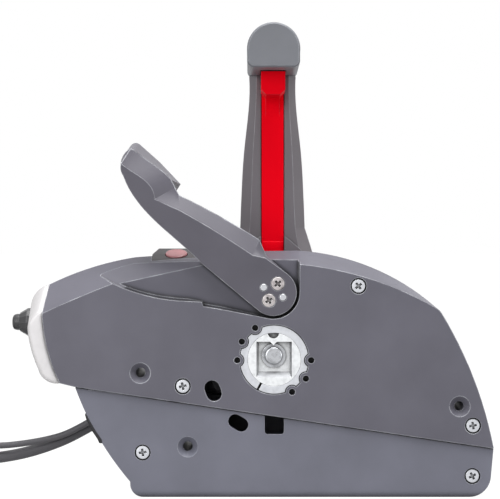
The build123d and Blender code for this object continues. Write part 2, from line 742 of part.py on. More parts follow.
# What lies behind the lever pocket: its back and the back of its slope, inside the crown
with BuildPart() as pocket_back:
    extrude(pocket_shape(WALL / 2, POCKET_ARC_R, 0.0, WALL), amount=-(FLOOR_Y + WALL / 2))
    loft([near_half(at_depth(0)), ridge_half(at_depth(CROWN_DEPTH))], mode=Mode.INTERSECT)
with BuildPart() as slope_back:
    loft([slope_shape(0.0, SLOPE_WALL, WALL), slope_shape(CROWN_DEPTH, SLOPE_WALL, WALL)])
    extrude(pocket_shape(0.0, POCKET_ARC_R, 0.0, WALL), amount=-CROWN_DEPTH, mode=Mode.INTERSECT)
    loft([near_half(at_depth(0)), ridge_half(at_depth(CROWN_DEPTH))], mode=Mode.INTERSECT)

# The wedge that the slope leaves open above itself, down to the pocket's rim
with BuildPart() as slope_cut:
    loft([slope_shape(0.0), slope_shape(CROWN_DEPTH)])
    extrude(pocket_shape(0.0, POCKET_ARC_R, 0.0), amount=-CROWN_DEPTH, mode=Mode.INTERSECT)

# Upper back cover: crowned shell with the mounting face
with BuildPart() as back_cover_upper:
    loft([near_half(at_depth(0)), ridge_half(at_depth(CROWN_DEPTH))])
    extrude(ridge_half(at_depth(CROWN_DEPTH)), amount=CROWN_DEPTH - PARTING_Y)
    loft([near_half(at_depth(WALL), WALL), ridge_half(at_depth(CROWN_DEPTH), WALL)], mode=Mode.SUBTRACT)
    extrude(ridge_half(at_depth(CROWN_DEPTH), WALL), amount=CROWN_DEPTH - PARTING_Y, mode=Mode.SUBTRACT)
    seam_window(2 * WALL, PARTING_Y)
    add(pocket_back.part)
    add(slope_back.part)
    post(0, 0, WALL / 2, cup_far_y, CUP_R)
    post(pivot_x, pivot_z, FLOOR_Y + WALL / 2, bush_y + WALL, FLANGE_R + LEVER_GAP + WALL)
    post(pivot_x, pivot_z, bush_y, bush_y + IDLE_BUSH_LENGTH, IDLE_SHAFT_R + IDLE_BUSH_WALL + WALL)
    for x, z in SCREW_POINTS_UPPER:
        screw_post(x, z, 0.0, PARTING_Y)
    for x, z in (MOUNT_POINTS[0], MOUNT_POINTS[2]):
        mount_tube(x, z, 0.0, PARTING_Y)
    # The pocket in two steps, and the slope behind it
    extrude(pocket_shape(0.0, POCKET_ARC_R, 0.0), amount=-LEDGE_Y, mode=Mode.SUBTRACT)
    extrude(
        pocket_shape(LEDGE_Y, POCKET_ARC_R - LEDGE_WIDTH / 2, LEDGE_WIDTH),
        amount=LEDGE_Y - FLOOR_Y, mode=Mode.SUBTRACT,
    )
    add(slope_cut.part, mode=Mode.SUBTRACT)
    post(pivot_x, pivot_z, FLOOR_Y, bush_y, FLANGE_R + LEVER_GAP, Mode.SUBTRACT)
    post(pivot_x, pivot_z, bush_y, bush_y + IDLE_BUSH_LENGTH, IDLE_SHAFT_R + IDLE_BUSH_WALL, Mode.SUBTRACT)
    # The seat of the index ring, with a lobe left standing round each index hole
    with BuildSketch(at_depth(0)) as seat:
        Circle(RING_R + RING_GAP)
        with Locations(*index_places(INDEX_CIRCLE_R)):
            Circle(INDEX_LOBE_R, mode=Mode.SUBTRACT)
    extrude(seat.sketch, amount=-cup_floor_y, mode=Mode.SUBTRACT)
    post(0, 0, cup_floor_y, cup_far_y, NECK_R + RUNNING_FIT, Mode.SUBTRACT)
    for x, z in index_places(INDEX_CIRCLE_R):
        post(x, z, 0.0, INDEX_HOLE_DEPTH, INDEX_HOLE_R, Mode.SUBTRACT)
    stadium(*SLOT_A, SLOT_A_TURN, SLOT_LENGTH, SLOT_A_WIDTH, 0.0, 2 * WALL)
    cut_for_switches()
finish(back_cover_upper, "back_cover_upper")

# Lower back cover, its face a little behind the mounting face
with BuildPart() as back_cover_lower:
    extrude(lower_outline(at_depth(LOWER_INSET), 0.0, SEAM_GAP), amount=LOWER_INSET - PARTING_Y)
    extrude(
        lower_outline(at_depth(LOWER_INSET + WALL), WALL, SEAM_GAP),
        amount=LOWER_INSET + WALL - PARTING_Y, mode=Mode.SUBTRACT,
    )
    seam_window(LOWER_INSET + 2 * WALL, PARTING_Y)
    for x, z in SCREW_POINTS_LOWER:
        screw_post(x, z, LOWER_INSET, PARTING_Y)
    mount_tube(*MOUNT_POINTS[1], LOWER_INSET, PARTING_Y)
    stadium(*SLOT_B, SLOT_B_TURN, SLOT_LENGTH, SLOT_B_WIDTH, LOWER_INSET, LOWER_INSET + 2 * WALL)
    with BuildSketch(at_depth(LOWER_INSET)) as slot_c:
        with BuildLine():
            left, right = SLOT_C_X
            FilletPolyline(
                (left, seam_z(left) + WALL), (left, SLOT_C_BOTTOM), (right, SLOT_C_BOTTOM),
                (right, seam_z(left) + WALL), radius=SLOT_C_ROUND,
            )
            Line((right, seam_z(left) + WALL), (left, seam_z(left) + WALL))
        make_face()
    extrude(slot_c.sketch, amount=-2 * WALL, mode=Mode.SUBTRACT)
    # The mouth that the cable grommet plugs
    near_y, far_y = GROMMET_Y[0] + GROMMET_LIP, GROMMET_Y[1] - GROMMET_LIP
    extrude(grommet_strip(-2 * WALL, WALL, GROMMET_LIP, near_y), amount=near_y - far_y, mode=Mode.SUBTRACT)
finish(back_cover_lower, "back_cover_lower")

# Operator-side cover: the whole outline, crowned the other way
with BuildPart() as front_cover:
    extrude(ridge_half(at_depth(PARTING_Y)), amount=PARTING_Y + CROWN_DEPTH - BODY_DEPTH)
    loft([ridge_half(at_depth(BODY_DEPTH - CROWN_DEPTH)), near_half(at_depth(BODY_DEPTH))])
    extrude(lower_outline(at_depth(PARTING_Y)), amount=PARTING_Y - BODY_DEPTH)
    extrude(
        ridge_half(at_depth(PARTING_Y), WALL), amount=PARTING_Y + CROWN_DEPTH - BODY_DEPTH, mode=Mode.SUBTRACT
    )
    loft(
        [ridge_half(at_depth(BODY_DEPTH - CROWN_DEPTH), WALL), near_half(at_depth(BODY_DEPTH - WALL), WALL)],
        mode=Mode.SUBTRACT,
    )
    extrude(
        lower_outline(at_depth(PARTING_Y), WALL), amount=PARTING_Y + WALL - BODY_DEPTH, mode=Mode.SUBTRACT
    )
    seam_window(PARTING_Y, BODY_DEPTH - 2 * WALL)
    for x, z in SCREW_POINTS_UPPER + SCREW_POINTS_LOWER:
        post(x, z, PARTING_Y, BODY_DEPTH - WALL / 2, SCREW_R + BOSS_WALL)
        post(x, z, PARTING_Y, SCREW_END_Y + 2 * WALL, SCREW_R + SCREW_FIT, Mode.SUBTRACT)
    for x, z in MOUNT_POINTS:
        post(x, z, PARTING_Y, BODY_DEPTH - WALL / 2, MOUNT_R + BOSS_WALL)
        post(x, z, BODY_DEPTH - MOUNT_SEAT - WALL, BODY_DEPTH - WALL / 2, MOUNT_SEAT_R + WALL)
        post(x, z, PARTING_Y, BODY_DEPTH, MOUNT_R, Mode.SUBTRACT)
        post(x, z, BODY_DEPTH - MOUNT_SEAT, BODY_DEPTH, MOUNT_SEAT_R, Mode.SUBTRACT)
    post(0, 0, BODY_DEPTH - BUSH_LENGTH, BODY_DEPTH - WALL / 2, SHAFT_R + BUSH_WALL + WALL)
    post(0, 0, BODY_DEPTH - BUSH_LENGTH, BODY_DEPTH, SHAFT_R + BUSH_WALL, Mode.SUBTRACT)
    cut_for_switches()
finish(front_cover, "front_cover")

# Satin bezel on the end, crowned like the covers
with BuildPart() as end_bezel:
    loft([bezel_outline(at_depth(0), BEZEL_NEAR), bezel_outline(at_depth(CROWN_DEPTH), BEZEL_RIDGE)])
    extrude(bezel_outline(at_depth(CROWN_DEPTH), BEZEL_RIDGE), amount=2 * CROWN_DEPTH - BODY_DEPTH)
    loft([
        bezel_outline(at_depth(BODY_DEPTH - CROWN_DEPTH), BEZEL_RIDGE),
        bezel_outline(at_depth(BODY_DEPTH), BEZEL_NEAR),
    ])
    for edge_y in (0.0, BODY_DEPTH - BEZEL_EDGE):
        band(edge_y, edge_y + BEZEL_EDGE, 2 * FLOOR_Z, -FLOOR_Z, 2 * END_MID[0], 0.0, Mode.SUBTRACT)
    near_y, far_y = BEZEL_EDGE + 2 * BEZEL_WALL, BODY_DEPTH - BEZEL_EDGE - 2 * BEZEL_WALL
    hollow = bezel_outline(at_depth(near_y), BEZEL_NEAR, BEZEL_WALL)
    extrude(hollow, amount=near_y - far_y, mode=Mode.SUBTRACT)
    rod(KEY_SEAT_X - 3 * WALL, KEY_SEAT_X, KEY_AXIS_Y, KEY_AXIS_Z, KEY_NUT_R + LEVER_GAP, Mode.SUBTRACT)
    rod(KEY_SEAT_X, END_MID[0] + 2 * WALL, KEY_AXIS_Y, KEY_AXIS_Z, KEY_BARREL_R, Mode.SUBTRACT)
finish(end_bezel, "end_bezel")

# Key switch: barrel through the end wall, conical nut outside and a turning knob with its key slot
key_end_x = KEY_SEAT_X + KEY_BARREL_LENGTH
with BuildPart() as key_switch_body:
    rod(KEY_SEAT_X, key_end_x, KEY_AXIS_Y, KEY_AXIS_Z, KEY_BARREL_R)
    rod(KEY_SEAT_X, key_end_x - WALL, KEY_AXIS_Y, KEY_AXIS_Z, KEY_STEM_R + RUNNING_FIT, Mode.SUBTRACT)
finish(key_switch_body, "key_switch_body")

with BuildPart() as key_switch_nut:
    with BuildSketch(Plane.YZ.offset(KEY_SEAT_X)) as base:
        with Locations((KEY_AXIS_Y, KEY_AXIS_Z)):
            Circle(KEY_NUT_R)
    with BuildSketch(Plane.YZ.offset(KEY_NUT_END_X)) as nose:
        with Locations((KEY_AXIS_Y, KEY_AXIS_Z)):
            Circle(KEY_NUT_NOSE_R)
    loft([base.sketch, nose.sketch])
    rod(KEY_NUT_END_X, KEY_SEAT_X, KEY_AXIS_Y, KEY_AXIS_Z, KEY_KNOB_R + LEVER_GAP, Mode.SUBTRACT)
finish(key_switch_nut, "key_switch_nut")

with BuildPart() as key_knob:
    rod(KEY_KNOB_END_X, KEY_SEAT_X - LEVER_GAP, KEY_AXIS_Y, KEY_AXIS_Z, KEY_KNOB_R)
    rod(KEY_SEAT_X - LEVER_GAP, key_end_x - 2 * WALL, KEY_AXIS_Y, KEY_AXIS_Z, KEY_STEM_R)
    chamfer(key_knob.edges().group_by(Axis.X)[0], length=KEY_KNOB_EDGE)
    with BuildSketch(Plane.YZ.offset(KEY_KNOB_END_X)) as key_slot:
        with Locations((KEY_AXIS_Y, KEY_AXIS_Z)):
            Rectangle(KEY_SLOT_WIDTH, KEY_SLOT_LENGTH)
    extrude(key_slot.sketch, amount=KEY_SLOT_DEPTH, mode=Mode.SUBTRACT)
finish(key_knob, "key_knob")

# Stop switch: tilted pad on the crown, red button and the switch under it
with BuildPart() as stop_switch_pad:
    pad_block(-PAD_SINK, PAD_HEIGHT)
    fillet(stop_switch_pad.faces().sort_by(PAD_AXIS)[-1].edges(), radius=PAD_ROUND)
    pad_round(STOP_R + STOP_GAP, STOP_WELL, PAD_HEIGHT, Mode.SUBTRACT)
finish(stop_switch_pad, "stop_switch_pad")

with BuildPart() as stop_button:
    pad_round(STOP_R, PAD_HEIGHT + STOP_PROUD - STOP_LENGTH, PAD_HEIGHT + STOP_PROUD)
    fillet(stop_button.faces().sort_by(PAD_AXIS)[-1].edges(), radius=STOP_ROUND)
finish(stop_button, "stop_button")

with BuildPart() as stop_switch_body:
    pad_round(STOP_BODY_R, -PAD_SINK - STOP_BODY_LENGTH, -PAD_SINK)
finish(stop_switch_body, "stop_switch_body")

# Cover screws: pan heads with a cross recess
with BuildPart() as cover_screws:
    for x, z, face_y in ([(x, z, 0.0) for x, z in SCREW_POINTS_UPPER]
                         + [(x, z, LOWER_INSET) for x, z in SCREW_POINTS_LOWER]):
        pan_screw(x, z, face_y + SCREW_RECESS_DEPTH, SCREW_HEAD_R, SCREW_HEAD_HEIGHT, SCREW_END_Y)
finish(cover_screws, "cover_screws")

# Index ring: scalloped round the index holes and split at the bottom
with BuildPart() as index_ring:
    with BuildSketch(at_depth(RING_Y)) as ring:
        Circle(RING_R)
        Circle(DISC_R + DISC_GAP, mode=Mode.SUBTRACT)
        with Locations(*index_places(INDEX_CIRCLE_R)):
            Circle(INDEX_LOBE_R + RING_GAP, mode=Mode.SUBTRACT)
        turn = math.radians(SPLIT_ANGLE)
        middle = (RING_R * math.cos(turn), RING_R * math.sin(turn), 0)
        with Locations(Location(middle, (0, 0, SPLIT_ANGLE))):
            Rectangle(RING_R / 2, SPLIT_WIDTH, mode=Mode.SUBTRACT)
    extrude(ring.sketch, amount=-RING_THICK)
finish(index_ring, "index_ring")

# Shaft disc with its tapered square pocket, the washer and the rounded bolt end
with BuildPart() as shaft_disc:
    post(0, 0, RING_Y, cup_floor_y - DISC_BACK_GAP, DISC_R)
    with BuildSketch(at_depth(RING_Y)) as mouth:
        Rectangle(POCKET_SIDE, POCKET_SIDE)
    with BuildSketch(at_depth(RING_Y + POCKET_DEPTH)) as pocket_floor:
        with Locations((0, POCKET_FLOOR_RISE)):
            Rectangle(POCKET_FLOOR_X, POCKET_FLOOR_Z)
    loft([mouth.sketch, pocket_floor.sketch], mode=Mode.SUBTRACT)
    post(*BOLT_AT, RING_Y, cup_floor_y, BOLT_SHANK_R, Mode.SUBTRACT)
    post(*CRESCENT_AT, RING_Y, RING_Y + CRESCENT_DEPTH, CRESCENT_R, Mode.SUBTRACT)
    with BuildSketch(at_depth(RING_Y)) as tooth:
        with BuildLine():
            tooth_x, tooth_z = CRESCENT_AT[0], POCKET_SIDE / 2
            Polyline(
                (tooth_x - TOOTH_HALF, tooth_z + TOOTH_THICK), (tooth_x + TOOTH_HALF, tooth_z + TOOTH_THICK),
                (tooth_x + TOOTH_HALF, tooth_z), (tooth_x, tooth_z - TOOTH_HEIGHT),
                (tooth_x - TOOTH_HALF, tooth_z), close=True,
            )
        make_face()
    extrude(tooth.sketch, amount=-TOOTH_THICK)
finish(shaft_disc, "shaft_disc")

with BuildPart() as shaft_washer:
    post(*BOLT_AT, RING_Y + POCKET_DEPTH - WASHER_THICK, RING_Y + POCKET_DEPTH, WASHER_R)
    post(*BOLT_AT, RING_Y, cup_floor_y, BOLT_SHANK_R, Mode.SUBTRACT)
finish(shaft_washer, "shaft_washer")

with BuildPart() as shaft_bolt:
    washer_y = RING_Y + POCKET_DEPTH - WASHER_THICK
    post(*BOLT_AT, BOLT_TOP_Y, washer_y, BOLT_END_R)
    fillet(shaft_bolt.edges().group_by(Axis.Y)[0], radius=BOLT_END_ROUND)
    post(*BOLT_AT, washer_y, cup_floor_y + BOLT_SHANK_LENGTH, BOLT_SHANK_R)
finish(shaft_bolt, "shaft_bolt")

# Control shaft: neck in the back cover, main length to the handle
shaft_near_y = cup_floor_y - DISC_BACK_GAP
circlip_y = BODY_DEPTH - BUSH_LENGTH - BUSH_FLANGE - CIRCLIP_THICK - LEVER_GAP
with BuildPart() as control_shaft:
    post(0, 0, shaft_near_y, NECK_END_Y, NECK_R)
    post(0, 0, NECK_END_Y, SHAFT_END_Y, SHAFT_R)
    post(*BOLT_AT, shaft_near_y, cup_floor_y + BOLT_SHANK_LENGTH, BOLT_SHANK_R, Mode.SUBTRACT)
    post(0, 0, SHAFT_END_Y - HANDLE_BOLT_GRIP, SHAFT_END_Y, HANDLE_BOLT_R, Mode.SUBTRACT)
    with BuildSketch(at_depth(circlip_y)) as groove:
        Circle(SHAFT_R + 1)
        Circle(SHAFT_R - CIRCLIP_SINK, mode=Mode.SUBTRACT)
    extrude(groove.sketch, amount=-CIRCLIP_THICK, mode=Mode.SUBTRACT)
finish(control_shaft, "control_shaft")

with BuildPart() as shaft_circlip:
    with BuildSketch(at_depth(circlip_y)) as clip:
        Circle(SHAFT_R + CIRCLIP_RIM)
        Circle(SHAFT_R - CIRCLIP_SINK, mode=Mode.SUBTRACT)
        with Locations((0, -SHAFT_R)):
            Rectangle(SHAFT_R, SHAFT_R, mode=Mode.SUBTRACT)
    extrude(clip.sketch, amount=-CIRCLIP_THICK)
finish(shaft_circlip, "shaft_circlip")

with BuildPart() as shaft_bushing:
    bush_near_y = BODY_DEPTH - BUSH_LENGTH
    post(0, 0, bush_near_y, BODY_DEPTH, SHAFT_R + BUSH_WALL)
    post(0, 0, bush_near_y - BUSH_FLANGE, bush_near_y, BUSH_FLANGE_R)
    post(0, 0, bush_near_y - BUSH_FLANGE, BODY_DEPTH, SHAFT_R + RUNNING_FIT, Mode.SUBTRACT)
finish(shaft_bushing, "shaft_bushing")

# Drive arm on the shaft, with the two pins that the control cables hook on
with BuildPart() as drive_arm:
    post(0, 0, ARM_PLATE_Y, ARM_PLATE_Y + ARM_HUB_LENGTH, ARM_HUB_R)
    with BuildSketch(at_depth(ARM_PLATE_Y)) as plate:
        Circle(ARM_HUB_R)
        for turn in ARM_TURNS:
            eye = (ARM_REACH * math.cos(math.radians(turn)), ARM_REACH * math.sin(math.radians(turn)))
            with Locations(eye):
                Circle(ARM_EYE_R)
            with Locations(Location((eye[0] / 2, eye[1] / 2, 0), (0, 0, turn))):
                Rectangle(ARM_REACH, 2 * ARM_EYE_R)
            with Locations(eye):
                Circle(CABLE_PIN_R, mode=Mode.SUBTRACT)
    extrude(plate.sketch, amount=-ARM_PLATE_THICK)
    post(0, 0, ARM_PLATE_Y, ARM_PLATE_Y + ARM_HUB_LENGTH, SHAFT_R, Mode.SUBTRACT)
finish(drive_arm, "drive_arm")

with BuildPart() as cable_pins:
    for turn in ARM_TURNS:
        x, z = ARM_REACH * math.cos(math.radians(turn)), ARM_REACH * math.sin(math.radians(turn))
        post(x, z, ARM_PLATE_Y - CABLE_PIN_HEAD, ARM_PLATE_Y, CABLE_PIN_R + 1)
        post(x, z, ARM_PLATE_Y, ARM_PLATE_Y + CABLE_PIN_LENGTH, CABLE_PIN_R)
finish(cable_pins, "cable_pins")

with BuildPart() as neutral_switch:
    x, z = NEUTRAL_SWITCH_AT
    across, up = NEUTRAL_SWITCH_SIZE
    band(WALL, WALL + NEUTRAL_SWITCH_HEIGHT, z - up / 2, z + up / 2, x - across / 2, x + across / 2)
    band(WALL + NEUTRAL_SWITCH_HEIGHT, WALL + NEUTRAL_SWITCH_HEIGHT + 2, z - 2, z + 2, x - 3, x + 3)
finish(neutral_switch, "neutral_switch")

# Fast idle lever: thin blade on a round hub, with a finger paddle standing off its tip
screw_seat_y = LEVER_Y + LEVER_SCREW_SINK
with BuildPart() as fast_idle_lever:
    loft([lever_outline(LEVER_Y, LEVER_NEAR), lever_outline(flange_y, LEVER_FAR)])
    loft(
        [paddle_outline(flange_y, PADDLE_NEAR), paddle_outline(flange_y + PADDLE_LENGTH, PADDLE_FAR)],
        ruled=True,
    )
    for x, z in at_pivot(LEVER_SCREWS):
        post(x, z, LEVER_Y, screw_seat_y, LEVER_SCREW_HEAD_R + SCREW_FIT, Mode.SUBTRACT)
        post(x, z, LEVER_Y, flange_y, SCREW_R, Mode.SUBTRACT)
    for x, z in at_pivot(LEVER_PINS):
        post(x, z, LEVER_Y, flange_y, LEVER_PIN_R, Mode.SUBTRACT)
finish(fast_idle_lever, "fast_idle_lever")

with BuildPart() as lever_screws:
    for x, z in at_pivot(LEVER_SCREWS):
        pan_screw(x, z, screw_seat_y, LEVER_SCREW_HEAD_R, SCREW_HEAD_HEIGHT, flange_y + FLANGE_THICK)
finish(lever_screws, "lever_screws")

with BuildPart() as lever_pins:
    for x, z in at_pivot(LEVER_PINS):
        post(x, z, LEVER_Y / 2, flange_y + FLANGE_THICK, LEVER_PIN_R)
    chamfer(lever_pins.edges().group_by(Axis.Y)[0], length=LEVER_Y)
finish(lever_pins, "lever_pins")

# Its shaft turns in a bushing and carries the throttle cam
idle_clip_y = bush_y + IDLE_BUSH_LENGTH + LEVER_GAP
with BuildPart() as lever_shaft:
    post(pivot_x, pivot_z, flange_y, flange_y + FLANGE_THICK, FLANGE_R)
    post(pivot_x, pivot_z, flange_y + FLANGE_THICK, flange_y + FLANGE_THICK + IDLE_SHAFT_LENGTH, IDLE_SHAFT_R)
    for x, z in at_pivot(LEVER_SCREWS):
        post(x, z, flange_y, flange_y + FLANGE_THICK, SCREW_R, Mode.SUBTRACT)
    for x, z in at_pivot(LEVER_PINS):
        post(x, z, flange_y, flange_y + FLANGE_THICK, LEVER_PIN_R, Mode.SUBTRACT)
    with BuildSketch(at_depth(idle_clip_y)) as groove:
        with Locations(PIVOT):
            Circle(IDLE_SHAFT_R + 1)
            Circle(IDLE_SHAFT_R - CIRCLIP_SINK, mode=Mode.SUBTRACT)
    extrude(groove.sketch, amount=-CIRCLIP_THICK, mode=Mode.SUBTRACT)
finish(lever_shaft, "lever_shaft")

with BuildPart() as idle_bushing:
    post(pivot_x, pivot_z, bush_y, bush_y + IDLE_BUSH_LENGTH, IDLE_SHAFT_R + IDLE_BUSH_WALL)
    post(pivot_x, pivot_z, bush_y, bush_y + IDLE_BUSH_LENGTH, IDLE_SHAFT_R + RUNNING_FIT, Mode.SUBTRACT)
finish(idle_bushing, "idle_bushing")

with BuildPart() as lever_circlip:
    with BuildSketch(at_depth(idle_clip_y)) as clip:
        with Locations(PIVOT):
            Circle(IDLE_SHAFT_R + CIRCLIP_RIM)
            Circle(IDLE_SHAFT_R - CIRCLIP_SINK, mode=Mode.SUBTRACT)
        with Locations((pivot_x, pivot_z - IDLE_SHAFT_R)):
            Rectangle(IDLE_SHAFT_R, IDLE_SHAFT_R, mode=Mode.SUBTRACT)
    extrude(clip.sketch, amount=-CIRCLIP_THICK)
finish(lever_circlip, "lever_circlip")

with BuildPart() as throttle_cam:
    with BuildSketch(at_depth(CAM_Y)) as cam:
        with Locations(PIVOT):
            Circle(CAM_R)
        with Locations((pivot_x - CAM_REACH, pivot_z)):
            Circle(CAM_NOSE_R)
        make_hull()
        with Locations(PIVOT):
            Circle(IDLE_SHAFT_R, mode=Mode.SUBTRACT)
    extrude(cam.sketch, amount=-CAM_THICK)
finish(throttle_cam, "throttle_cam")

# Handle arm: ridged face towards the box, a channel for the lock bar and a tongue for the grip
handle_far_y = HANDLE_Y + HANDLE_THICK
channel_y = HANDLE_Y + CHANNEL_DEPTH
half_channel = CHANNEL_WIDTH / 2
side_y = HANDLE_Y + RIDGE_DEPTH
head_y = SHAFT_END_Y + HANDLE_BOLT_WEB
with BuildPart() as handle_arm:
    loft([
        handle_outline(HANDLE_Y, RIDGE_HUB_R, RIDGE_SIDE),
        handle_outline(side_y, HANDLE_HUB_R, HANDLE_SIDE),
    ])
    extrude(handle_outline(side_y, HANDLE_HUB_R, HANDLE_SIDE), amount=side_y - handle_far_y)
    band(HANDLE_Y, handle_far_y, GRIP_BOTTOM_Z, GRIP_TOP_Z, -GRIP_TOP_Z, GRIP_TOP_Z, Mode.SUBTRACT)
    fillet(handle_arm.faces().sort_by(Axis.Y)[-1].edges().sort_by(Axis.Z)[:-1], radius=HANDLE_ROUND)
    with BuildSketch(at_depth(BODY_DEPTH + HANDLE_GAP)) as boss:
        Circle(HUB_BOSS_R)
        with BuildLine():
            peak_x, shoulder_z = HUB_SHOULDER
            Polyline(
                (-peak_x, 0), (peak_x, 0), HUB_SHOULDER, HUB_PEAK, (-peak_x, shoulder_z), close=True
            )
        make_face()
    extrude(boss.sketch, amount=-HUB_BOSS)
    band(BODY_DEPTH, channel_y, CHANNEL_FOOT_Z, GRIP_BOTTOM_Z, -half_channel, half_channel, Mode.SUBTRACT)
    tongue_x, tongue_y, tongue_z = TONGUE
    tongue_top_z = GRIP_BOTTOM_Z + tongue_z
    band(channel_y, channel_y + tongue_y, GRIP_BOTTOM_Z, tongue_top_z, -tongue_x / 2, tongue_x / 2)
    post(0, 0, BODY_DEPTH, SHAFT_END_Y, SHAFT_R, Mode.SUBTRACT)
    post(0, 0, SHAFT_END_Y, head_y, HANDLE_BOLT_R + HANDLE_BOLT_FIT, Mode.SUBTRACT)
    post(0, 0, head_y, handle_far_y, HANDLE_BOLT_HEAD_R + 1, Mode.SUBTRACT)
    post(0, 0, handle_far_y - HUB_CAP_SINK, handle_far_y, HUB_CAP_R, Mode.SUBTRACT)
finish(handle_arm, "handle_arm")

with BuildPart() as handle_bolt:
    post(0, 0, SHAFT_END_Y - HANDLE_BOLT_GRIP, head_y, HANDLE_BOLT_R)
    post(0, 0, head_y, head_y + HANDLE_BOLT_HEAD, HANDLE_BOLT_HEAD_R)
    with BuildSketch(at_depth(head_y + HANDLE_BOLT_HEAD)) as socket:
        RegularPolygon(HANDLE_BOLT_R, 6)
    extrude(socket.sketch, amount=HANDLE_BOLT_HEAD / 2, mode=Mode.SUBTRACT)
finish(handle_bolt, "handle_bolt")

with BuildPart() as hub_cap:
    post(0, 0, handle_far_y - HUB_CAP_SINK, handle_far_y - HUB_CAP_SINK + HUB_CAP_THICK, HUB_CAP_R)
    fillet(hub_cap.edges().group_by(Axis.Y)[-1], radius=HUB_CAP_SINK)
finish(hub_cap, "hub_cap")

# T grip with its end cap, the pocket that the lock block lifts into and the rocker's pocket
bar_back_y = BAR_FRONT_Y + BAR_THICK
rocker_x, rocker_z = ROCKER_SIZE
rocker_y = GRIP_END_Y - ROCKER_SINK
pin_y = rocker_y + ROCKER_PIN_SET
with BuildPart() as handle_grip:
    extrude(grip_outline(GRIP_NEAR_Y), amount=GRIP_NEAR_Y - GRIP_END_Y)
    fillet(handle_grip.faces().sort_by(Axis.Y)[-1].edges(), radius=GRIP_FAR_ROUND)
    pocket_half = BLOCK_WIDTH / 2 + BAR_POCKET_GAP
    band(
        BLOCK_FRONT_Y - BAR_POCKET_GAP, bar_back_y + BAR_POCKET_GAP, GRIP_BOTTOM_Z,
        BAR_TOP_Z + BAR_TRAVEL + BAR_POCKET_GAP * 3, -pocket_half, pocket_half, Mode.SUBTRACT,
    )
    band(
        channel_y, channel_y + tongue_y, GRIP_BOTTOM_Z, GRIP_BOTTOM_Z + tongue_z,
        -tongue_x / 2, tongue_x / 2, Mode.SUBTRACT,
    )
    with BuildSketch(at_depth(rocker_y - ROCKER_FLOOR)) as mouth:
        with Locations((0, ROCKER_CENTRE_Z)):
            Rectangle(rocker_x + 2 * ROCKER_GAP, rocker_z + 2 * ROCKER_GAP)
    extrude(mouth.sketch, amount=-(ROCKER_FLOOR + ROCKER_SINK), mode=Mode.SUBTRACT)
    pin_half = rocker_x / 2 + ROCKER_GAP + ROCKER_PIN_HOLD
    rod(-pin_half, pin_half, pin_y, ROCKER_CENTRE_Z, ROCKER_PIN_R, Mode.SUBTRACT)
finish(handle_grip, "handle_grip")

with BuildPart() as grip_end_cap:
    extrude(grip_outline(GRIP_NEAR_Y), amount=GRIP_CAP_THICK)
    chamfer(grip_end_cap.faces().sort_by(Axis.Y)[0].edges(), length=GRIP_BEVEL / 2)
finish(grip_end_cap, "grip_end_cap")

with BuildPart() as trim_rocker:
    with BuildSketch(at_depth(rocker_y)) as button:
        with Locations((0, ROCKER_CENTRE_Z)):
            RectangleRounded(rocker_x, rocker_z, ROCKER_PIN_R)
    extrude(button.sketch, amount=-ROCKER_THICK)
    rod(-rocker_x, rocker_x, pin_y, ROCKER_CENTRE_Z, ROCKER_PIN_R + RUNNING_FIT, Mode.SUBTRACT)
finish(trim_rocker, "trim_rocker")

with BuildPart() as rocker_pin:
    rod(-pin_half, pin_half, pin_y, ROCKER_CENTRE_Z, ROCKER_PIN_R)
finish(rocker_pin, "rocker_pin")

# Red lock bar: a finger block under the grip, a curved neck and a long bar down the channel
half_bar = BAR_WIDTH / 2
half_block = BLOCK_WIDTH / 2
with BuildPart() as lock_bar:
    band(BAR_FRONT_Y, bar_back_y, BAR_FOOT_Z, BAR_TOP_Z, -half_bar, half_bar)
    with BuildSketch(at_depth(BLOCK_FRONT_Y)) as block:
        with BuildLine():
            Polyline(
                (-half_block, BAR_TOP_Z), (-half_block, BAR_BLOCK_FOOT_Z + BLOCK_CORNER),
                (BLOCK_CORNER - half_block, BAR_BLOCK_FOOT_Z), (half_block - BLOCK_CORNER, BAR_BLOCK_FOOT_Z),
                (half_block, BAR_BLOCK_FOOT_Z + BLOCK_CORNER), (half_block, BAR_TOP_Z), close=True,
            )
        make_face()
    extrude(block.sketch, amount=BLOCK_FRONT_Y - BAR_FRONT_Y)
    with BuildSketch(Plane.YZ) as neck:
        with BuildLine():
            start = (BAR_FRONT_Y - BAR_NECK_ROUND, BAR_BLOCK_FOOT_Z)
            end = (BAR_FRONT_Y, BAR_BLOCK_FOOT_Z - BAR_NECK_ROUND)
            RadiusArc(start, end, BAR_NECK_ROUND)
            Polyline(end, (BAR_FRONT_Y, BAR_BLOCK_FOOT_Z), start)
        make_face()
    extrude(neck.sketch, amount=half_block - BLOCK_CORNER, both=True)
    tongue_y0 = BAR_FRONT_Y + BAR_TONGUE_SET
    band(
        tongue_y0, tongue_y0 + BAR_TONGUE_THICK, BAR_FOOT_Z - BAR_TONGUE_LENGTH, BAR_FOOT_Z,
        -BAR_TONGUE_WIDTH / 2, BAR_TONGUE_WIDTH / 2,
    )
finish(lock_bar, "lock_bar")

# Cable grommet in the slanted edge, with a collar for each cord
with BuildPart() as cable_grommet:
    near_y, far_y = GROMMET_Y
    extrude(grommet_strip(0.0, GROMMET_THICK, 0.0, near_y), amount=near_y - far_y)
    extrude(
        grommet_strip(-WALL, 0.0, GROMMET_LIP, near_y + GROMMET_LIP), amount=near_y - far_y + 2 * GROMMET_LIP
    )
    collar(HARNESS_EXIT, HARNESS_D)
    collar(TRIM_EXIT, TRIM_D)
finish(cable_grommet, "cable_grommet")

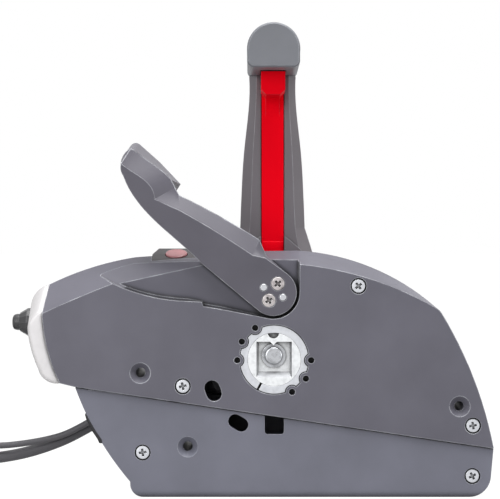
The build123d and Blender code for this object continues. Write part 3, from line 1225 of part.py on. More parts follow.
# Cords: the main harness with its coil and plug, and the trim lead with its wires and terminals
harness_start = edge_point(HARNESS_EXIT[0], GROMMET_THICK + COLLAR, HARNESS_EXIT[1])
trim_start = edge_point(TRIM_EXIT[0], GROMMET_THICK + COLLAR, TRIM_EXIT[1])
tube("harness_lead", [harness_start] + HARNESS_ROUTE, HARNESS_D)
tube("harness_tail", TAIL_ROUTE, HARNESS_D)
tube("trim_lead", [trim_start] + TRIM_ROUTE, TRIM_D)
for colour, route in WIRE_ROUTES.items():
    tube(f"trim_wire_{colour}", route, WIRE_D)

with BuildPart() as harness_coil:
    inner_r, outer_r = COIL_R
    with BuildSketch(Plane.XY.offset(FLOOR_Z)) as annulus:
        with Locations(COIL_CENTRE):
            Circle(outer_r)
            Circle(inner_r, mode=Mode.SUBTRACT)
    extrude(annulus.sketch, amount=COIL_TOP_Z - FLOOR_Z)
    for end_x, y, z in (HARNESS_ROUTE[-1], TAIL_ROUTE[0]):
        rod(COIL_CENTRE[0], end_x, y, z, HARNESS_D / 2)
finish(harness_coil, "harness_coil")

plug_x, plug_y, plug_z = TAIL_ROUTE[-1]
with BuildPart() as harness_plug:
    rod(plug_x, plug_x - PLUG_BOOT_LENGTH, plug_y, plug_z, PLUG_BOOT_R)
    with BuildSketch(Plane.YZ.offset(plug_x - PLUG_BOOT_LENGTH)) as body:
        with Locations((plug_y, plug_z)):
            RectangleRounded(*PLUG_SIZE, PLUG_ROUND)
    extrude(body.sketch, amount=-PLUG_LENGTH)
    with BuildSketch(Plane.YZ.offset(plug_x - PLUG_BOOT_LENGTH - PLUG_LENGTH)) as mouth:
        with Locations((plug_y, plug_z)):
            RectangleRounded(PLUG_SIZE[0] - 2 * PLUG_WALL, PLUG_SIZE[1] - 2 * PLUG_WALL, PLUG_WALL)
    extrude(mouth.sketch, amount=PLUG_MOUTH, mode=Mode.SUBTRACT)
    with BuildSketch(Plane.YZ.offset(plug_x - PLUG_BOOT_LENGTH - PLUG_LENGTH + PLUG_MOUTH)) as pins:
        with Locations((plug_y, plug_z)):
            with GridLocations(PLUG_PIN_STEP, PLUG_PIN_STEP, *PLUG_PIN_COUNTS):
                Circle(PLUG_PIN_R)
    extrude(pins.sketch, amount=-PLUG_PIN_LENGTH)
finish(harness_plug, "harness_plug")

with BuildPart() as wire_terminals:
    for route in WIRE_ROUTES.values():
        before, last = Vector(*route[-2]), Vector(*route[-1])
        along = (last - before).normalized()
        with BuildSketch(Plane(origin=last, z_dir=along)) as sleeve:
            Circle(TERMINAL_R)
        extrude(sleeve.sketch, amount=TERMINAL_SLEEVE)
        with BuildSketch(Plane(origin=last + along * TERMINAL_SLEEVE, z_dir=along)) as pin:
            Circle(TERMINAL_PIN_R)
        extrude(pin.sketch, amount=TERMINAL_PIN)
finish(wire_terminals, "wire_terminals")
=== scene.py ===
import math

import bpy
from mathutils import Matrix, Vector


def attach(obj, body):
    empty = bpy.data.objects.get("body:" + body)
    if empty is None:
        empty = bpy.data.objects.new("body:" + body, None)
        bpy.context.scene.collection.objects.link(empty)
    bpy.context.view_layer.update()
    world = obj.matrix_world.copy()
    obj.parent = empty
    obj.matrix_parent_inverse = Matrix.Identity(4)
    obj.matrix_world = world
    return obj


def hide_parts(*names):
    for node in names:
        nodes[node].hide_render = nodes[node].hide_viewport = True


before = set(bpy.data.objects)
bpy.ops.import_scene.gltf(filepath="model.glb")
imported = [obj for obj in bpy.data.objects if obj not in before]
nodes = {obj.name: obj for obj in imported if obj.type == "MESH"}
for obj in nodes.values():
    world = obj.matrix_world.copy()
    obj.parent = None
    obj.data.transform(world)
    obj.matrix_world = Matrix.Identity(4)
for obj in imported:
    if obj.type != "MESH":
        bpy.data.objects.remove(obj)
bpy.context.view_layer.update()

# Camera: level with the middle of the box, looking from the wall along +Y
CAMERA_X = -0.0167
CAMERA_Z = 0.076
CAMERA_AWAY = 1.1
CAMERA_LENS = 114.8
FLOOR_Z = -0.095

# Floor and backdrop: the floor's own grey, the share and strength of its white, and the world's light
FLOOR_GREY = 0.34
FLOOR_WHITE_SHARE = 0.75
FLOOR_WHITE = 1.32
WORLD_LIGHT = 0.22


def from_srgb(red, green, blue):
    """A colour read from a picture, 0 to 255, as the linear colour that a shader takes."""
    def linear(value):
        value = value / 255
        return value / 12.92 if value <= 0.04045 else ((value + 0.055) / 1.055) ** 2.4
    return (linear(red), linear(green), linear(blue), 1.0)


def deselect_all():
    """Nothing is selected and nothing is active, so that the next operator acts on its own piece."""
    if bpy.context.object and bpy.context.object.mode != "OBJECT":
        bpy.ops.object.mode_set(mode="OBJECT")
    bpy.ops.object.select_all(action="DESELECT")


def new_group(name, inputs, outputs):
    """An empty shader node group with named inputs (name, kind, default) and outputs (name, kind)."""
    group = bpy.data.node_groups.new(name, "ShaderNodeTree")
    for label, kind, default in inputs:
        socket = group.interface.new_socket(name=label, in_out="INPUT", socket_type=kind)
        socket.default_value = default
    for label, kind in outputs:
        group.interface.new_socket(name=label, in_out="OUTPUT", socket_type=kind)
    return group, group.nodes.new("NodeGroupInput"), group.nodes.new("NodeGroupOutput")


def build_edge_wear_and_highlight():
    """Painted highlight and rubbed paint on edges that stick out: where the rounded normal leaves the true one, the
    colour is lightened, and noise breaks the line.
    """
    group, ins, outs = new_group(
        "rubbed edge and painted highlight",
        [("Color", "NodeSocketColor", (0.1, 0.1, 0.1, 1)), ("Edge Color", "NodeSocketColor", (0.5, 0.5, 0.5, 1)),
         ("Width", "NodeSocketFloat", 0.0008), ("Amount", "NodeSocketFloat", 0.5),
         ("Break Up", "NodeSocketFloat", 90.0)],
        [("Color", "NodeSocketColor"), ("Mask", "NodeSocketFloat"), ("Normal", "NodeSocketVector")],
    )
    make, link = group.nodes.new, group.links.new
    bevel = make("ShaderNodeBevel")
    bevel.samples = 6
    true_face = make("ShaderNodeNewGeometry")
    dot = make("ShaderNodeVectorMath")
    dot.operation = "DOT_PRODUCT"
    spread = make("ShaderNodeMapRange")
    spread.inputs["From Min"].default_value = 0.999
    spread.inputs["From Max"].default_value = 0.965
    place = make("ShaderNodeTexCoord")
    noise = make("ShaderNodeTexNoise")
    noise.inputs["Detail"].default_value = 6
    cut = make("ShaderNodeMapRange")
    cut.inputs["From Min"].default_value = 0.35
    cut.inputs["From Max"].default_value = 0.62
    cut.inputs["To Min"].default_value = 0.25
    rubbed_and_lit = make("ShaderNodeMath")
    rubbed_and_lit.operation = "MULTIPLY"
    scaled = make("ShaderNodeMath")
    scaled.operation = "MULTIPLY"
    mix = make("ShaderNodeMix")
    mix.data_type = "RGBA"
    link(ins.outputs["Width"], bevel.inputs["Radius"])
    link(bevel.outputs["Normal"], dot.inputs[0])
    link(true_face.outputs["Normal"], dot.inputs[1])
    link(dot.outputs["Value"], spread.inputs["Value"])
    link(place.outputs["Object"], noise.inputs["Vector"])
    link(ins.outputs["Break Up"], noise.inputs["Scale"])
    link(noise.outputs["Fac"], cut.inputs["Value"])
    link(spread.outputs["Result"], rubbed_and_lit.inputs[0])
    link(cut.outputs["Result"], rubbed_and_lit.inputs[1])
    link(rubbed_and_lit.outputs["Value"], scaled.inputs[0])
    link(ins.outputs["Amount"], scaled.inputs[1])
    link(scaled.outputs["Value"], mix.inputs["Factor"])
    link(ins.outputs["Color"], mix.inputs["A"])
    link(ins.outputs["Edge Color"], mix.inputs["B"])
    link(mix.outputs["Result"], outs.inputs["Color"])
    link(scaled.outputs["Value"], outs.inputs["Mask"])
    link(bevel.outputs["Normal"], outs.inputs["Normal"])
    return group


def build_moulded_skin():
    """Moulded or painted skin: broad cloudiness, fine grain for the bump, and small scuffs."""
    group, ins, outs = new_group(
        "moulded skin",
        [("Color", "NodeSocketColor", (0.1, 0.1, 0.1, 1)), ("Cloud", "NodeSocketFloat", 0.12),
         ("Grain Scale", "NodeSocketFloat", 900.0), ("Roughness", "NodeSocketFloat", 0.45),
         ("Scuffs", "NodeSocketFloat", 0.3)],
        [("Color", "NodeSocketColor"), ("Roughness", "NodeSocketFloat"), ("Height", "NodeSocketFloat")],
    )
    make, link = group.nodes.new, group.links.new
    place = make("ShaderNodeTexCoord")
    cloud = make("ShaderNodeTexNoise")
    cloud.inputs["Scale"].default_value = 22
    cloud.inputs["Detail"].default_value = 5
    grain = make("ShaderNodeTexNoise")
    grain.inputs["Detail"].default_value = 3
    shift = make("ShaderNodeMapRange")
    shift.inputs["From Min"].default_value = 0.3
    shift.inputs["From Max"].default_value = 0.7
    shift.inputs["To Min"].default_value = -1
    shift.inputs["To Max"].default_value = 1
    amount = make("ShaderNodeMath")
    amount.operation = "MULTIPLY_ADD"
    amount.inputs[2].default_value = 1
    tone = make("ShaderNodeVectorMath")
    tone.operation = "SCALE"
    stretch = make("ShaderNodeMapping")
    stretch.inputs["Scale"].default_value = (1.0, 1.0, 5.0)
    stretch.inputs["Rotation"].default_value = (0.0, 0.9, 0.0)
    scuff = make("ShaderNodeTexNoise")
    scuff.inputs["Scale"].default_value = 120
    scuff.inputs["Detail"].default_value = 8
    mark = make("ShaderNodeMapRange")
    mark.inputs["From Min"].default_value = 0.60
    mark.inputs["From Max"].default_value = 0.72
    marked = make("ShaderNodeMath")
    marked.operation = "MULTIPLY"
    rough = make("ShaderNodeMath")
    rough.operation = "MULTIPLY_ADD"
    rough.inputs[1].default_value = 0.35
    link(place.outputs["Object"], cloud.inputs["Vector"])
    link(place.outputs["Object"], grain.inputs["Vector"])
    link(place.outputs["Object"], stretch.inputs["Vector"])
    link(stretch.outputs["Vector"], scuff.inputs["Vector"])
    link(ins.outputs["Grain Scale"], grain.inputs["Scale"])
    link(cloud.outputs["Fac"], shift.inputs["Value"])
    link(shift.outputs["Result"], amount.inputs[0])
    link(ins.outputs["Cloud"], amount.inputs[1])
    link(ins.outputs["Color"], tone.inputs[0])
    link(amount.outputs["Value"], tone.inputs["Scale"])
    link(scuff.outputs["Fac"], mark.inputs["Value"])
    link(mark.outputs["Result"], marked.inputs[0])
    link(ins.outputs["Scuffs"], marked.inputs[1])
    link(marked.outputs["Value"], rough.inputs[0])
    link(ins.outputs["Roughness"], rough.inputs[2])
    link(tone.outputs["Vector"], outs.inputs["Color"])
    link(rough.outputs["Value"], outs.inputs["Roughness"])
    link(grain.outputs["Fac"], outs.inputs["Height"])
    return group


def build_recess_shade():
    """Painted shade in gaps, holes and inner corners: the colour darkens towards black where the surroundings close
    in.
    """
    group, ins, outs = new_group(
        "recess shade",
        [("Color", "NodeSocketColor", (0.1, 0.1, 0.1, 1)), ("Reach", "NodeSocketFloat", 0.004),
         ("Open From", "NodeSocketFloat", 0.75), ("Closed At", "NodeSocketFloat", 0.2),
         ("Depth", "NodeSocketFloat", 0.8)],
        [("Color", "NodeSocketColor"), ("Mask", "NodeSocketFloat")],
    )
    make, link = group.nodes.new, group.links.new
    shade = make("ShaderNodeAmbientOcclusion")
    shade.samples = 8
    closed = make("ShaderNodeMapRange")
    amount = make("ShaderNodeMath")
    amount.operation = "MULTIPLY"
    mix = make("ShaderNodeMix")
    mix.data_type = "RGBA"
    mix.inputs["B"].default_value = (0.003, 0.003, 0.003, 1)
    link(ins.outputs["Reach"], shade.inputs["Distance"])
    link(shade.outputs["AO"], closed.inputs["Value"])
    link(ins.outputs["Open From"], closed.inputs["From Min"])
    link(ins.outputs["Closed At"], closed.inputs["From Max"])
    link(closed.outputs["Result"], amount.inputs[0])
    link(ins.outputs["Depth"], amount.inputs[1])
    link(amount.outputs["Value"], mix.inputs["Factor"])
    link(ins.outputs["Color"], mix.inputs["A"])
    link(mix.outputs["Result"], outs.inputs["Color"])
    link(amount.outputs["Value"], outs.inputs["Mask"])
    return group


def build_upward_face_shade():
    """Painted shade on the faces that look up, stronger the more they look up, in uneven patches."""
    group, ins, outs = new_group(
        "painted shade on upward faces",
        [("Color", "NodeSocketColor", (0.7, 0.7, 0.7, 1)), ("Grease Color", "NodeSocketColor", (0.2, 0.2, 0.2, 1)),
         ("Amount", "NodeSocketFloat", 0.5)],
        [("Color", "NodeSocketColor"), ("Mask", "NodeSocketFloat")],
    )
    make, link = group.nodes.new, group.links.new
    place = make("ShaderNodeTexCoord")
    height = make("ShaderNodeSeparateXYZ")
    upward = make("ShaderNodeMapRange")
    upward.inputs["From Min"].default_value = 0.35
    upward.inputs["From Max"].default_value = 0.75
    patch = make("ShaderNodeTexNoise")
    patch.inputs["Scale"].default_value = 180
    patch.inputs["Detail"].default_value = 4
    uneven = make("ShaderNodeMapRange")
    uneven.inputs["From Min"].default_value = 0.3
    uneven.inputs["From Max"].default_value = 0.7
    uneven.inputs["To Min"].default_value = 0.8
    spread = make("ShaderNodeMath")
    spread.operation = "MULTIPLY"
    amount = make("ShaderNodeMath")
    amount.operation = "MULTIPLY"
    mix = make("ShaderNodeMix")
    mix.data_type = "RGBA"
    link(place.outputs["Normal"], height.inputs["Vector"])
    link(height.outputs["Z"], upward.inputs["Value"])
    link(place.outputs["Object"], patch.inputs["Vector"])
    link(patch.outputs["Fac"], uneven.inputs["Value"])
    link(upward.outputs["Result"], spread.inputs[0])
    link(uneven.outputs["Result"], spread.inputs[1])
    link(spread.outputs["Value"], amount.inputs[0])
    link(ins.outputs["Amount"], amount.inputs[1])
    link(amount.outputs["Value"], mix.inputs["Factor"])
    link(ins.outputs["Color"], mix.inputs["A"])
    link(ins.outputs["Grease Color"], mix.inputs["B"])
    link(mix.outputs["Result"], outs.inputs["Color"])
    link(amount.outputs["Value"], outs.inputs["Mask"])
    return group


def build_brushed_metal():
    """Fine scratches along one direction, with tarnish in patches."""
    group, ins, outs = new_group(
        "brushed metal",
        [("Color", "NodeSocketColor", (0.7, 0.7, 0.7, 1)), ("Tarnish Color", "NodeSocketColor", (0.3, 0.3, 0.3, 1)),
         ("Tarnish", "NodeSocketFloat", 0.3), ("Roughness", "NodeSocketFloat", 0.35),
         ("Scratch Scale", "NodeSocketFloat", 400.0)],
        [("Color", "NodeSocketColor"), ("Roughness", "NodeSocketFloat"), ("Height", "NodeSocketFloat")],
    )
    make, link = group.nodes.new, group.links.new
    place = make("ShaderNodeTexCoord")
    along = make("ShaderNodeMapping")
    along.inputs["Scale"].default_value = (0.12, 1.0, 1.0)
    along.inputs["Rotation"].default_value = (0.0, 0.5, 0.0)
    scratch = make("ShaderNodeTexNoise")
    scratch.inputs["Detail"].default_value = 4
    patch = make("ShaderNodeTexNoise")
    patch.inputs["Scale"].default_value = 260
    patch.inputs["Detail"].default_value = 6
    spots = make("ShaderNodeMapRange")
    spots.inputs["From Min"].default_value = 0.45
    spots.inputs["From Max"].default_value = 0.75
    dulled = make("ShaderNodeMath")
    dulled.operation = "MULTIPLY"
    mix = make("ShaderNodeMix")
    mix.data_type = "RGBA"
    rough = make("ShaderNodeMath")
    rough.operation = "MULTIPLY_ADD"
    rough.inputs[1].default_value = 0.4
    link(place.outputs["Object"], along.inputs["Vector"])
    link(along.outputs["Vector"], scratch.inputs["Vector"])
    link(ins.outputs["Scratch Scale"], scratch.inputs["Scale"])
    link(place.outputs["Object"], patch.inputs["Vector"])
    link(patch.outputs["Fac"], spots.inputs["Value"])
    link(spots.outputs["Result"], dulled.inputs[0])
    link(ins.outputs["Tarnish"], dulled.inputs[1])
    link(dulled.outputs["Value"], mix.inputs["Factor"])
    link(ins.outputs["Color"], mix.inputs["A"])
    link(ins.outputs["Tarnish Color"], mix.inputs["B"])
    link(dulled.outputs["Value"], rough.inputs[0])
    link(ins.outputs["Roughness"], rough.inputs[2])
    link(mix.outputs["Result"], outs.inputs["Color"])
    link(rough.outputs["Value"], outs.inputs["Roughness"])
    link(scratch.outputs["Fac"], outs.inputs["Height"])
    return group


edge_wear_and_highlight = build_edge_wear_and_highlight()
recess_shade = build_recess_shade()
moulded_skin = build_moulded_skin()
brushed_metal = build_brushed_metal()
upward_face_shade = build_upward_face_shade()


def start_material(name):
    """A new node material with its Principled shader."""
    material = bpy.data.materials.new(name)
    material.use_nodes = True
    return material, material.node_tree, material.node_tree.nodes["Principled BSDF"]


def place_group(tree, group, **values):
    """A copy of a node group in a material, with its own values."""
    node = tree.nodes.new("ShaderNodeGroup")
    node.node_tree = group
    for label, value in values.items():
        node.inputs[label.replace("_", " ")].default_value = value
    return node


def moulded_material(name, colour, edge_colour, roughness=0.45, cloud=0.1, grain=900.0, bump=0.06, scuffs=0.3,
                     edge_width=0.0008, edge_amount=0.5, specular=0.3, coat=0.0, reach=0.004, depth=0.8,
                     open_from=0.75, closed_at=0.2):
    """Moulded plastic, rubber or paint, with its grain, scuffs, rubbed edges lightened by a painted highlight, and
    painted shade in its recesses.
    """
    material, tree, shader = start_material(name)
    skin = place_group(tree, moulded_skin, Color=colour, Cloud=cloud, Grain_Scale=grain, Roughness=roughness,
                       Scuffs=scuffs)
    # Rubbed edges with a painted highlight: edges lighten towards the edge colour.
    rubbed_and_lit_edge = place_group(tree, edge_wear_and_highlight, Edge_Color=edge_colour, Width=edge_width, Amount=edge_amount)
    relief = tree.nodes.new("ShaderNodeBump")
    relief.inputs["Strength"].default_value = bump
    relief.inputs["Distance"].default_value = 0.0004
    # Painted shade: gaps, holes and inner corners darken towards black.
    shade = place_group(tree, recess_shade, Reach=reach, Depth=depth, Open_From=open_from, Closed_At=closed_at)
    tree.links.new(skin.outputs["Color"], rubbed_and_lit_edge.inputs["Color"])
    tree.links.new(rubbed_and_lit_edge.outputs["Color"], shade.inputs["Color"])
    tree.links.new(shade.outputs["Color"], shader.inputs["Base Color"])
    tree.links.new(skin.outputs["Roughness"], shader.inputs["Roughness"])
    tree.links.new(skin.outputs["Height"], relief.inputs["Height"])
    tree.links.new(rubbed_and_lit_edge.outputs["Normal"], relief.inputs["Normal"])
    tree.links.new(relief.outputs["Normal"], shader.inputs["Normal"])
    shader.inputs["Specular IOR Level"].default_value = specular
    shader.inputs["Coat Weight"].default_value = coat
    return material


def metal_material(name, colour, tarnish_colour, tarnish=0.3, roughness=0.35, metallic=1.0, bump=0.08,
                   scratches=400.0, edge_width=0.0004, edge_amount=0.3, reach=0.003, depth=0.7,
                   open_from=0.75, closed_at=0.2, upward_shade=0.0):
    """Plated, turned or brushed metal with its scratches and tarnish, edges lightened by a painted highlight, and
    painted shade in its recesses and on its upward faces.
    """
    material, tree, shader = start_material(name)
    skin = place_group(tree, brushed_metal, Color=colour, Tarnish_Color=tarnish_colour, Tarnish=tarnish,
                       Roughness=roughness, Scratch_Scale=scratches)
    # Rubbed edges with a painted highlight: edges lighten towards pale grey.
    rubbed_and_lit_edge = place_group(tree, edge_wear_and_highlight, Edge_Color=(0.9, 0.9, 0.9, 1), Width=edge_width, Amount=edge_amount)
    relief = tree.nodes.new("ShaderNodeBump")
    relief.inputs["Strength"].default_value = bump
    relief.inputs["Distance"].default_value = 0.0003
    # Painted shade: gaps, holes and inner corners darken towards black.
    shade = place_group(tree, recess_shade, Reach=reach, Depth=depth, Open_From=open_from, Closed_At=closed_at)
    # Painted shade on the faces that look up, darkening towards the tarnish colour.
    upward_shade_node = place_group(tree, upward_face_shade, Grease_Color=tarnish_colour, Amount=upward_shade)
    tree.links.new(skin.outputs["Color"], rubbed_and_lit_edge.inputs["Color"])
    tree.links.new(rubbed_and_lit_edge.outputs["Color"], upward_shade_node.inputs["Color"])
    tree.links.new(upward_shade_node.outputs["Color"], shade.inputs["Color"])
    tree.links.new(shade.outputs["Color"], shader.inputs["Base Color"])
    tree.links.new(skin.outputs["Roughness"], shader.inputs["Roughness"])
    tree.links.new(skin.outputs["Height"], relief.inputs["Height"])
    tree.links.new(rubbed_and_lit_edge.outputs["Normal"], relief.inputs["Normal"])
    tree.links.new(relief.outputs["Normal"], shader.inputs["Normal"])
    shader.inputs["Metallic"].default_value = metallic
    return material


# Pale edge colour for the painted highlight on rubbed edges.
EDGE_HIGHLIGHT = from_srgb(214, 216, 222)
# The housing's painted shade is strong: holes, the pocket and gaps go dark.
housing_skin = moulded_material("housing grey", from_srgb(103, 102, 112), EDGE_HIGHLIGHT, edge_width=0.0009,
                                edge_amount=0.8, depth=1.0, open_from=0.9, closed_at=0.45)
# Longer reach of painted shade: a painted shadow under the step of the seam.
lower_skin = moulded_material("lower cover grey", from_srgb(119, 120, 132), EDGE_HIGHLIGHT,
                              edge_width=0.0005, edge_amount=0.6, reach=0.006, depth=1.0,
                              open_from=0.9, closed_at=0.45)
lever_skin = moulded_material("lever grey", from_srgb(93, 91, 100), EDGE_HIGHLIGHT, roughness=0.38,
                             edge_amount=0.9)
handle_paint = moulded_material("handle paint", from_srgb(108, 103, 108), EDGE_HIGHLIGHT, roughness=0.35, cloud=0.06,
                                grain=600.0, bump=0.04, edge_amount=0.35, specular=0.5)
grip_skin = moulded_material("grip grey", from_srgb(122, 124, 130), EDGE_HIGHLIGHT, roughness=0.5, edge_amount=0.35)
silver_paint = metal_material("satin silver", from_srgb(206, 204, 205), from_srgb(188, 187, 189), tarnish=0.2,
                              roughness=0.5, metallic=0.6, bump=0.03, scratches=200.0, edge_width=0.005, edge_amount=0.0,
                              depth=0.4)
red_gloss = moulded_material("red plastic", from_srgb(255, 0, 26), from_srgb(255, 90, 110), roughness=0.5,
                             cloud=0.02, bump=0.02, scuffs=0.2, edge_width=0.0006, edge_amount=0.35,
                             specular=0.04, depth=0.2)
button_red = moulded_material("faded red plastic", from_srgb(166, 104, 108), from_srgb(220, 190, 190),
                              roughness=0.2, cloud=0.6, bump=0.02, edge_amount=0.7, coat=0.4)
black_skin = moulded_material("black plastic", from_srgb(52, 52, 54), from_srgb(130, 130, 134), roughness=0.35,
                              edge_amount=0.5, specular=0.5)
pad_skin = moulded_material("pad rubber", from_srgb(66, 64, 66), from_srgb(140, 142, 144), roughness=0.4,
                            edge_amount=0.6)
black_rubber = moulded_material("black rubber", from_srgb(44, 44, 46), from_srgb(96, 96, 98), roughness=0.7,
                                edge_amount=0.25)
nylon = moulded_material("bearing nylon", from_srgb(228, 226, 214), from_srgb(245, 244, 238), roughness=0.4)
# Painted shade darkens the screws' cross recesses and the gap round the index ring.
zinc = metal_material("zinc plating", from_srgb(204, 206, 211), from_srgb(140, 142, 148), tarnish=0.3,
                      roughness=0.4, metallic=0.8, edge_amount=0.2, reach=0.004, depth=1.0, open_from=0.93)
# Painted shade deep in the disc's pocket and on its upward faces.
disc_zinc = metal_material("cast zinc", from_srgb(226, 228, 230), from_srgb(116, 117, 121), tarnish=0.3,
                           roughness=0.5, metallic=0.7, edge_amount=0.4, reach=0.02, depth=1.0,
                           open_from=0.9, upward_shade=0.92)
worn_zinc = metal_material("worn zinc", from_srgb(186, 180, 180), from_srgb(84, 78, 78), tarnish=0.75,
                           roughness=0.38, metallic=0.8, edge_amount=0.6, reach=0.004, depth=1.0,
                           open_from=0.93)
bright_steel = metal_material("bright steel", from_srgb(200, 201, 206), from_srgb(120, 120, 124), tarnish=0.2,
                              roughness=0.25)
bolt_steel = metal_material("bolt steel", from_srgb(186, 188, 192), from_srgb(70, 70, 74), tarnish=0.6,
                            roughness=0.2, edge_amount=0.5, reach=0.01, depth=0.9, open_from=0.9)
dark_steel = metal_material("dark steel", from_srgb(58, 58, 60), from_srgb(30, 30, 32), tarnish=0.5,
                            roughness=0.5, edge_amount=0.1)
tinned_brass = metal_material("tinned brass", from_srgb(214, 210, 196), from_srgb(140, 120, 84), tarnish=0.3,
                              roughness=0.28)


def dress(material, *names):
    """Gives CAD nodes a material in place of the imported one."""
    for name in names:
        mesh = nodes[name].data
        if not mesh.materials:
            mesh.materials.append(material)
        for index in range(len(mesh.materials)):
            mesh.materials[index] = material


dress(housing_skin, "back_cover_upper", "front_cover")
dress(lower_skin, "back_cover_lower")
dress(lever_skin, "fast_idle_lever")
dress(handle_paint, "handle_arm", "hub_cap")
dress(grip_skin, "handle_grip", "grip_end_cap")
dress(silver_paint, "end_bezel")
dress(red_gloss, "lock_bar")
dress(button_red, "stop_button")
dress(pad_skin, "stop_switch_pad")
dress(black_skin, "key_switch_body", "key_switch_nut", "key_knob", "stop_switch_body", "trim_rocker",
      "harness_plug", "neutral_switch")
dress(black_rubber, "cable_grommet")
dress(nylon, "shaft_bushing", "idle_bushing", "throttle_cam")
dress(zinc, "cover_screws", "index_ring", "shaft_circlip", "lever_circlip")
dress(disc_zinc, "shaft_disc")
dress(worn_zinc, "lever_screws")
dress(bolt_steel, "shaft_washer", "shaft_bolt")
dress(dark_steel, "control_shaft", "drive_arm", "cable_pins")
dress(bright_steel, "lever_shaft", "handle_bolt", "rocker_pin", "lever_pins")


def cord_material(name, colour, roughness):
    """A cord's jacket: matte vinyl with faint dust and handling marks."""
    return moulded_material(name, colour, from_srgb(110, 110, 112), roughness=roughness, cloud=0.12, grain=700.0,
                            bump=0.05, scuffs=0.4, edge_width=0.0003, edge_amount=0.0)


jacket = cord_material("cord jacket", from_srgb(96, 95, 99), 0.5)
WIRE_COLOURS = {
    "red": cord_material("red insulation", from_srgb(196, 40, 40), 0.42),
    "blue": cord_material("blue insulation", from_srgb(40, 96, 190), 0.42),
    "green": cord_material("green insulation", from_srgb(40, 140, 72), 0.42),
}


def cord_curve(name, route, diameter, material):
    """One smooth cord: a NURBS spline with the route's points as its control points."""
    curve = bpy.data.curves.new(name, "CURVE")
    curve.dimensions = "3D"
    curve.bevel_depth = diameter / 2
    curve.bevel_resolution = 5
    curve.resolution_u = 6
    curve.use_fill_caps = True
    spline = curve.splines.new("NURBS")
    spline.points.add(len(route) - 1)
    for point, place in zip(spline.points, route):
        point.co = (place[0] / 1000, place[1] / 1000, place[2] / 1000, 1)
    spline.order_u = 3
    spline.use_endpoint_u = True
    cord = bpy.data.objects.new(name, curve)
    bpy.context.scene.collection.objects.link(cord)
    curve.materials.append(material)
    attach(cord, "housing")
    return cord


# Cord routes in millimetres, the same points as in the part's source
HARNESS_START = (-128.63, 29.0, -48.19)
HARNESS_ROUTE = [
    (-141.6, 29.0, -55.7), (-157.5, 29.0, -62.4), (-175.0, 28.2, -67.8), (-193.0, 26.0, -70.9),
    (-206.0, 20.6, -71.0), (-218.0, 15.2, -69.4), (-230.5, 12.0, -67.0), (-245.0, 12.0, -67.0),
]
TAIL_ROUTE = [
    (-311.0, 12.0, -90.8), (-321.0, 12.0, -90.8), (-332.0, 12.0, -88.6), (-343.0, 12.0, -86.0),
    (-353.0, 12.0, -86.0),
]
TRIM_START = (-130.28, 21.0, -45.33)
TRIM_ROUTE = [
    (-143.3, 21.0, -52.8), (-157.0, 21.0, -57.0), (-174.0, 21.4, -60.2), (-193.0, 21.8, -62.3),
    (-214.0, 22.2, -61.4), (-236.0, 22.8, -60.5), (-263.0, 23.0, -60.5), (-294.0, 24.4, -60.5),
    (-319.0, 42.0, -60.5), (-328.5, 72.0, -60.5), (-318.6, 102.0, -60.5), (-294.0, 120.0, -60.5),
    (-279.0, 120.0, -60.5),
]
WIRE_ROUTES = {
    "red": [
        (-278.85, 121.04, -61.1), (-261.0, 122.6, -61.2), (-236.0, 105.0, -61.2), (-226.5, 75.0, -61.2),
        (-229.5, 58.0, -61.2),
    ],
    "blue": [
        (-278.85, 120.0, -59.3), (-262.0, 118.6, -61.0), (-240.0, 101.6, -61.2), (-232.0, 73.0, -61.2),
        (-235.4, 57.5, -61.2),
    ],
    "green": [
        (-278.85, 118.96, -61.1), (-263.0, 116.0, -61.2), (-244.0, 98.6, -61.2), (-237.6, 72.0, -61.2),
        (-241.2, 56.0, -61.2),
    ],
}
HARNESS_D = 0.008
TRIM_D = 0.0044
WIRE_D = 0.0019

# The coil: layers of turns that step in, drop a layer and step out again
COIL_CENTRE = (-278.0, 72.0)
COIL_RADII = [60.3, 52.2, 44.1, 36.0]
COIL_LAYERS = [-67.0, -74.9, -82.9, -90.8]
COIL_TURNS = 14
POINTS_PER_TURN = 18
STEP_SECTOR = 60.0


def coil_moves():
    """When the winding steps sideways or drops a layer: (starting turn angle, ring, layer) after each move."""
    moves, angle, ring, layer = [], 270.0, 0, 0
    inwards = True
    while layer < len(COIL_LAYERS):
        for _ in COIL_RADII[1:]:
            ring += 1 if inwards else -1
            moves.append((angle, ring, layer))
            angle += 360.0
        layer += 1
        if layer < len(COIL_LAYERS):
            moves.append((angle - STEP_SECTOR, ring, layer))
            angle += 240.0
        inwards = not inwards
    return moves


def coil_route():
    """The winding's control points, from the top outer turn to the bottom outer turn."""
    step = 360.0 / POINTS_PER_TURN
    reach = 1 / math.cos(math.radians(step / 2))
    moves = coil_moves()
    points = []
    for index in range(COIL_TURNS * POINTS_PER_TURN + 1):
        angle = (index - 0.5) * step
        radius, height = COIL_RADII[0], COIL_LAYERS[0]
        for start, ring, layer in moves:
            share = min(max((angle - start) / STEP_SECTOR, 0.0), 1.0)
            radius += (COIL_RADII[ring] - radius) * share
            height += (COIL_LAYERS[layer] - height) * share
        turn = math.radians(angle)
        points.append((
            COIL_CENTRE[0] - radius * reach * math.sin(turn), COIL_CENTRE[1] - radius * reach * math.cos(turn), height,
        ))
    return points


harness_cord = cord_curve(
    "harness_cord", [HARNESS_START] + HARNESS_ROUTE + coil_route() + TAIL_ROUTE, HARNESS_D, jacket
)
trim_cord = cord_curve("trim_cord", [TRIM_START] + TRIM_ROUTE, TRIM_D, jacket)
wires = {
    colour: cord_curve(f"trim_wire_{colour}_cord", route, WIRE_D, WIRE_COLOURS[colour])
    for colour, route in WIRE_ROUTES.items()
}
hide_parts("harness_lead", "harness_coil", "harness_tail")
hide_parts("trim_lead")
for colour, wire in wires.items():
    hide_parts(f"trim_wire_{colour}")

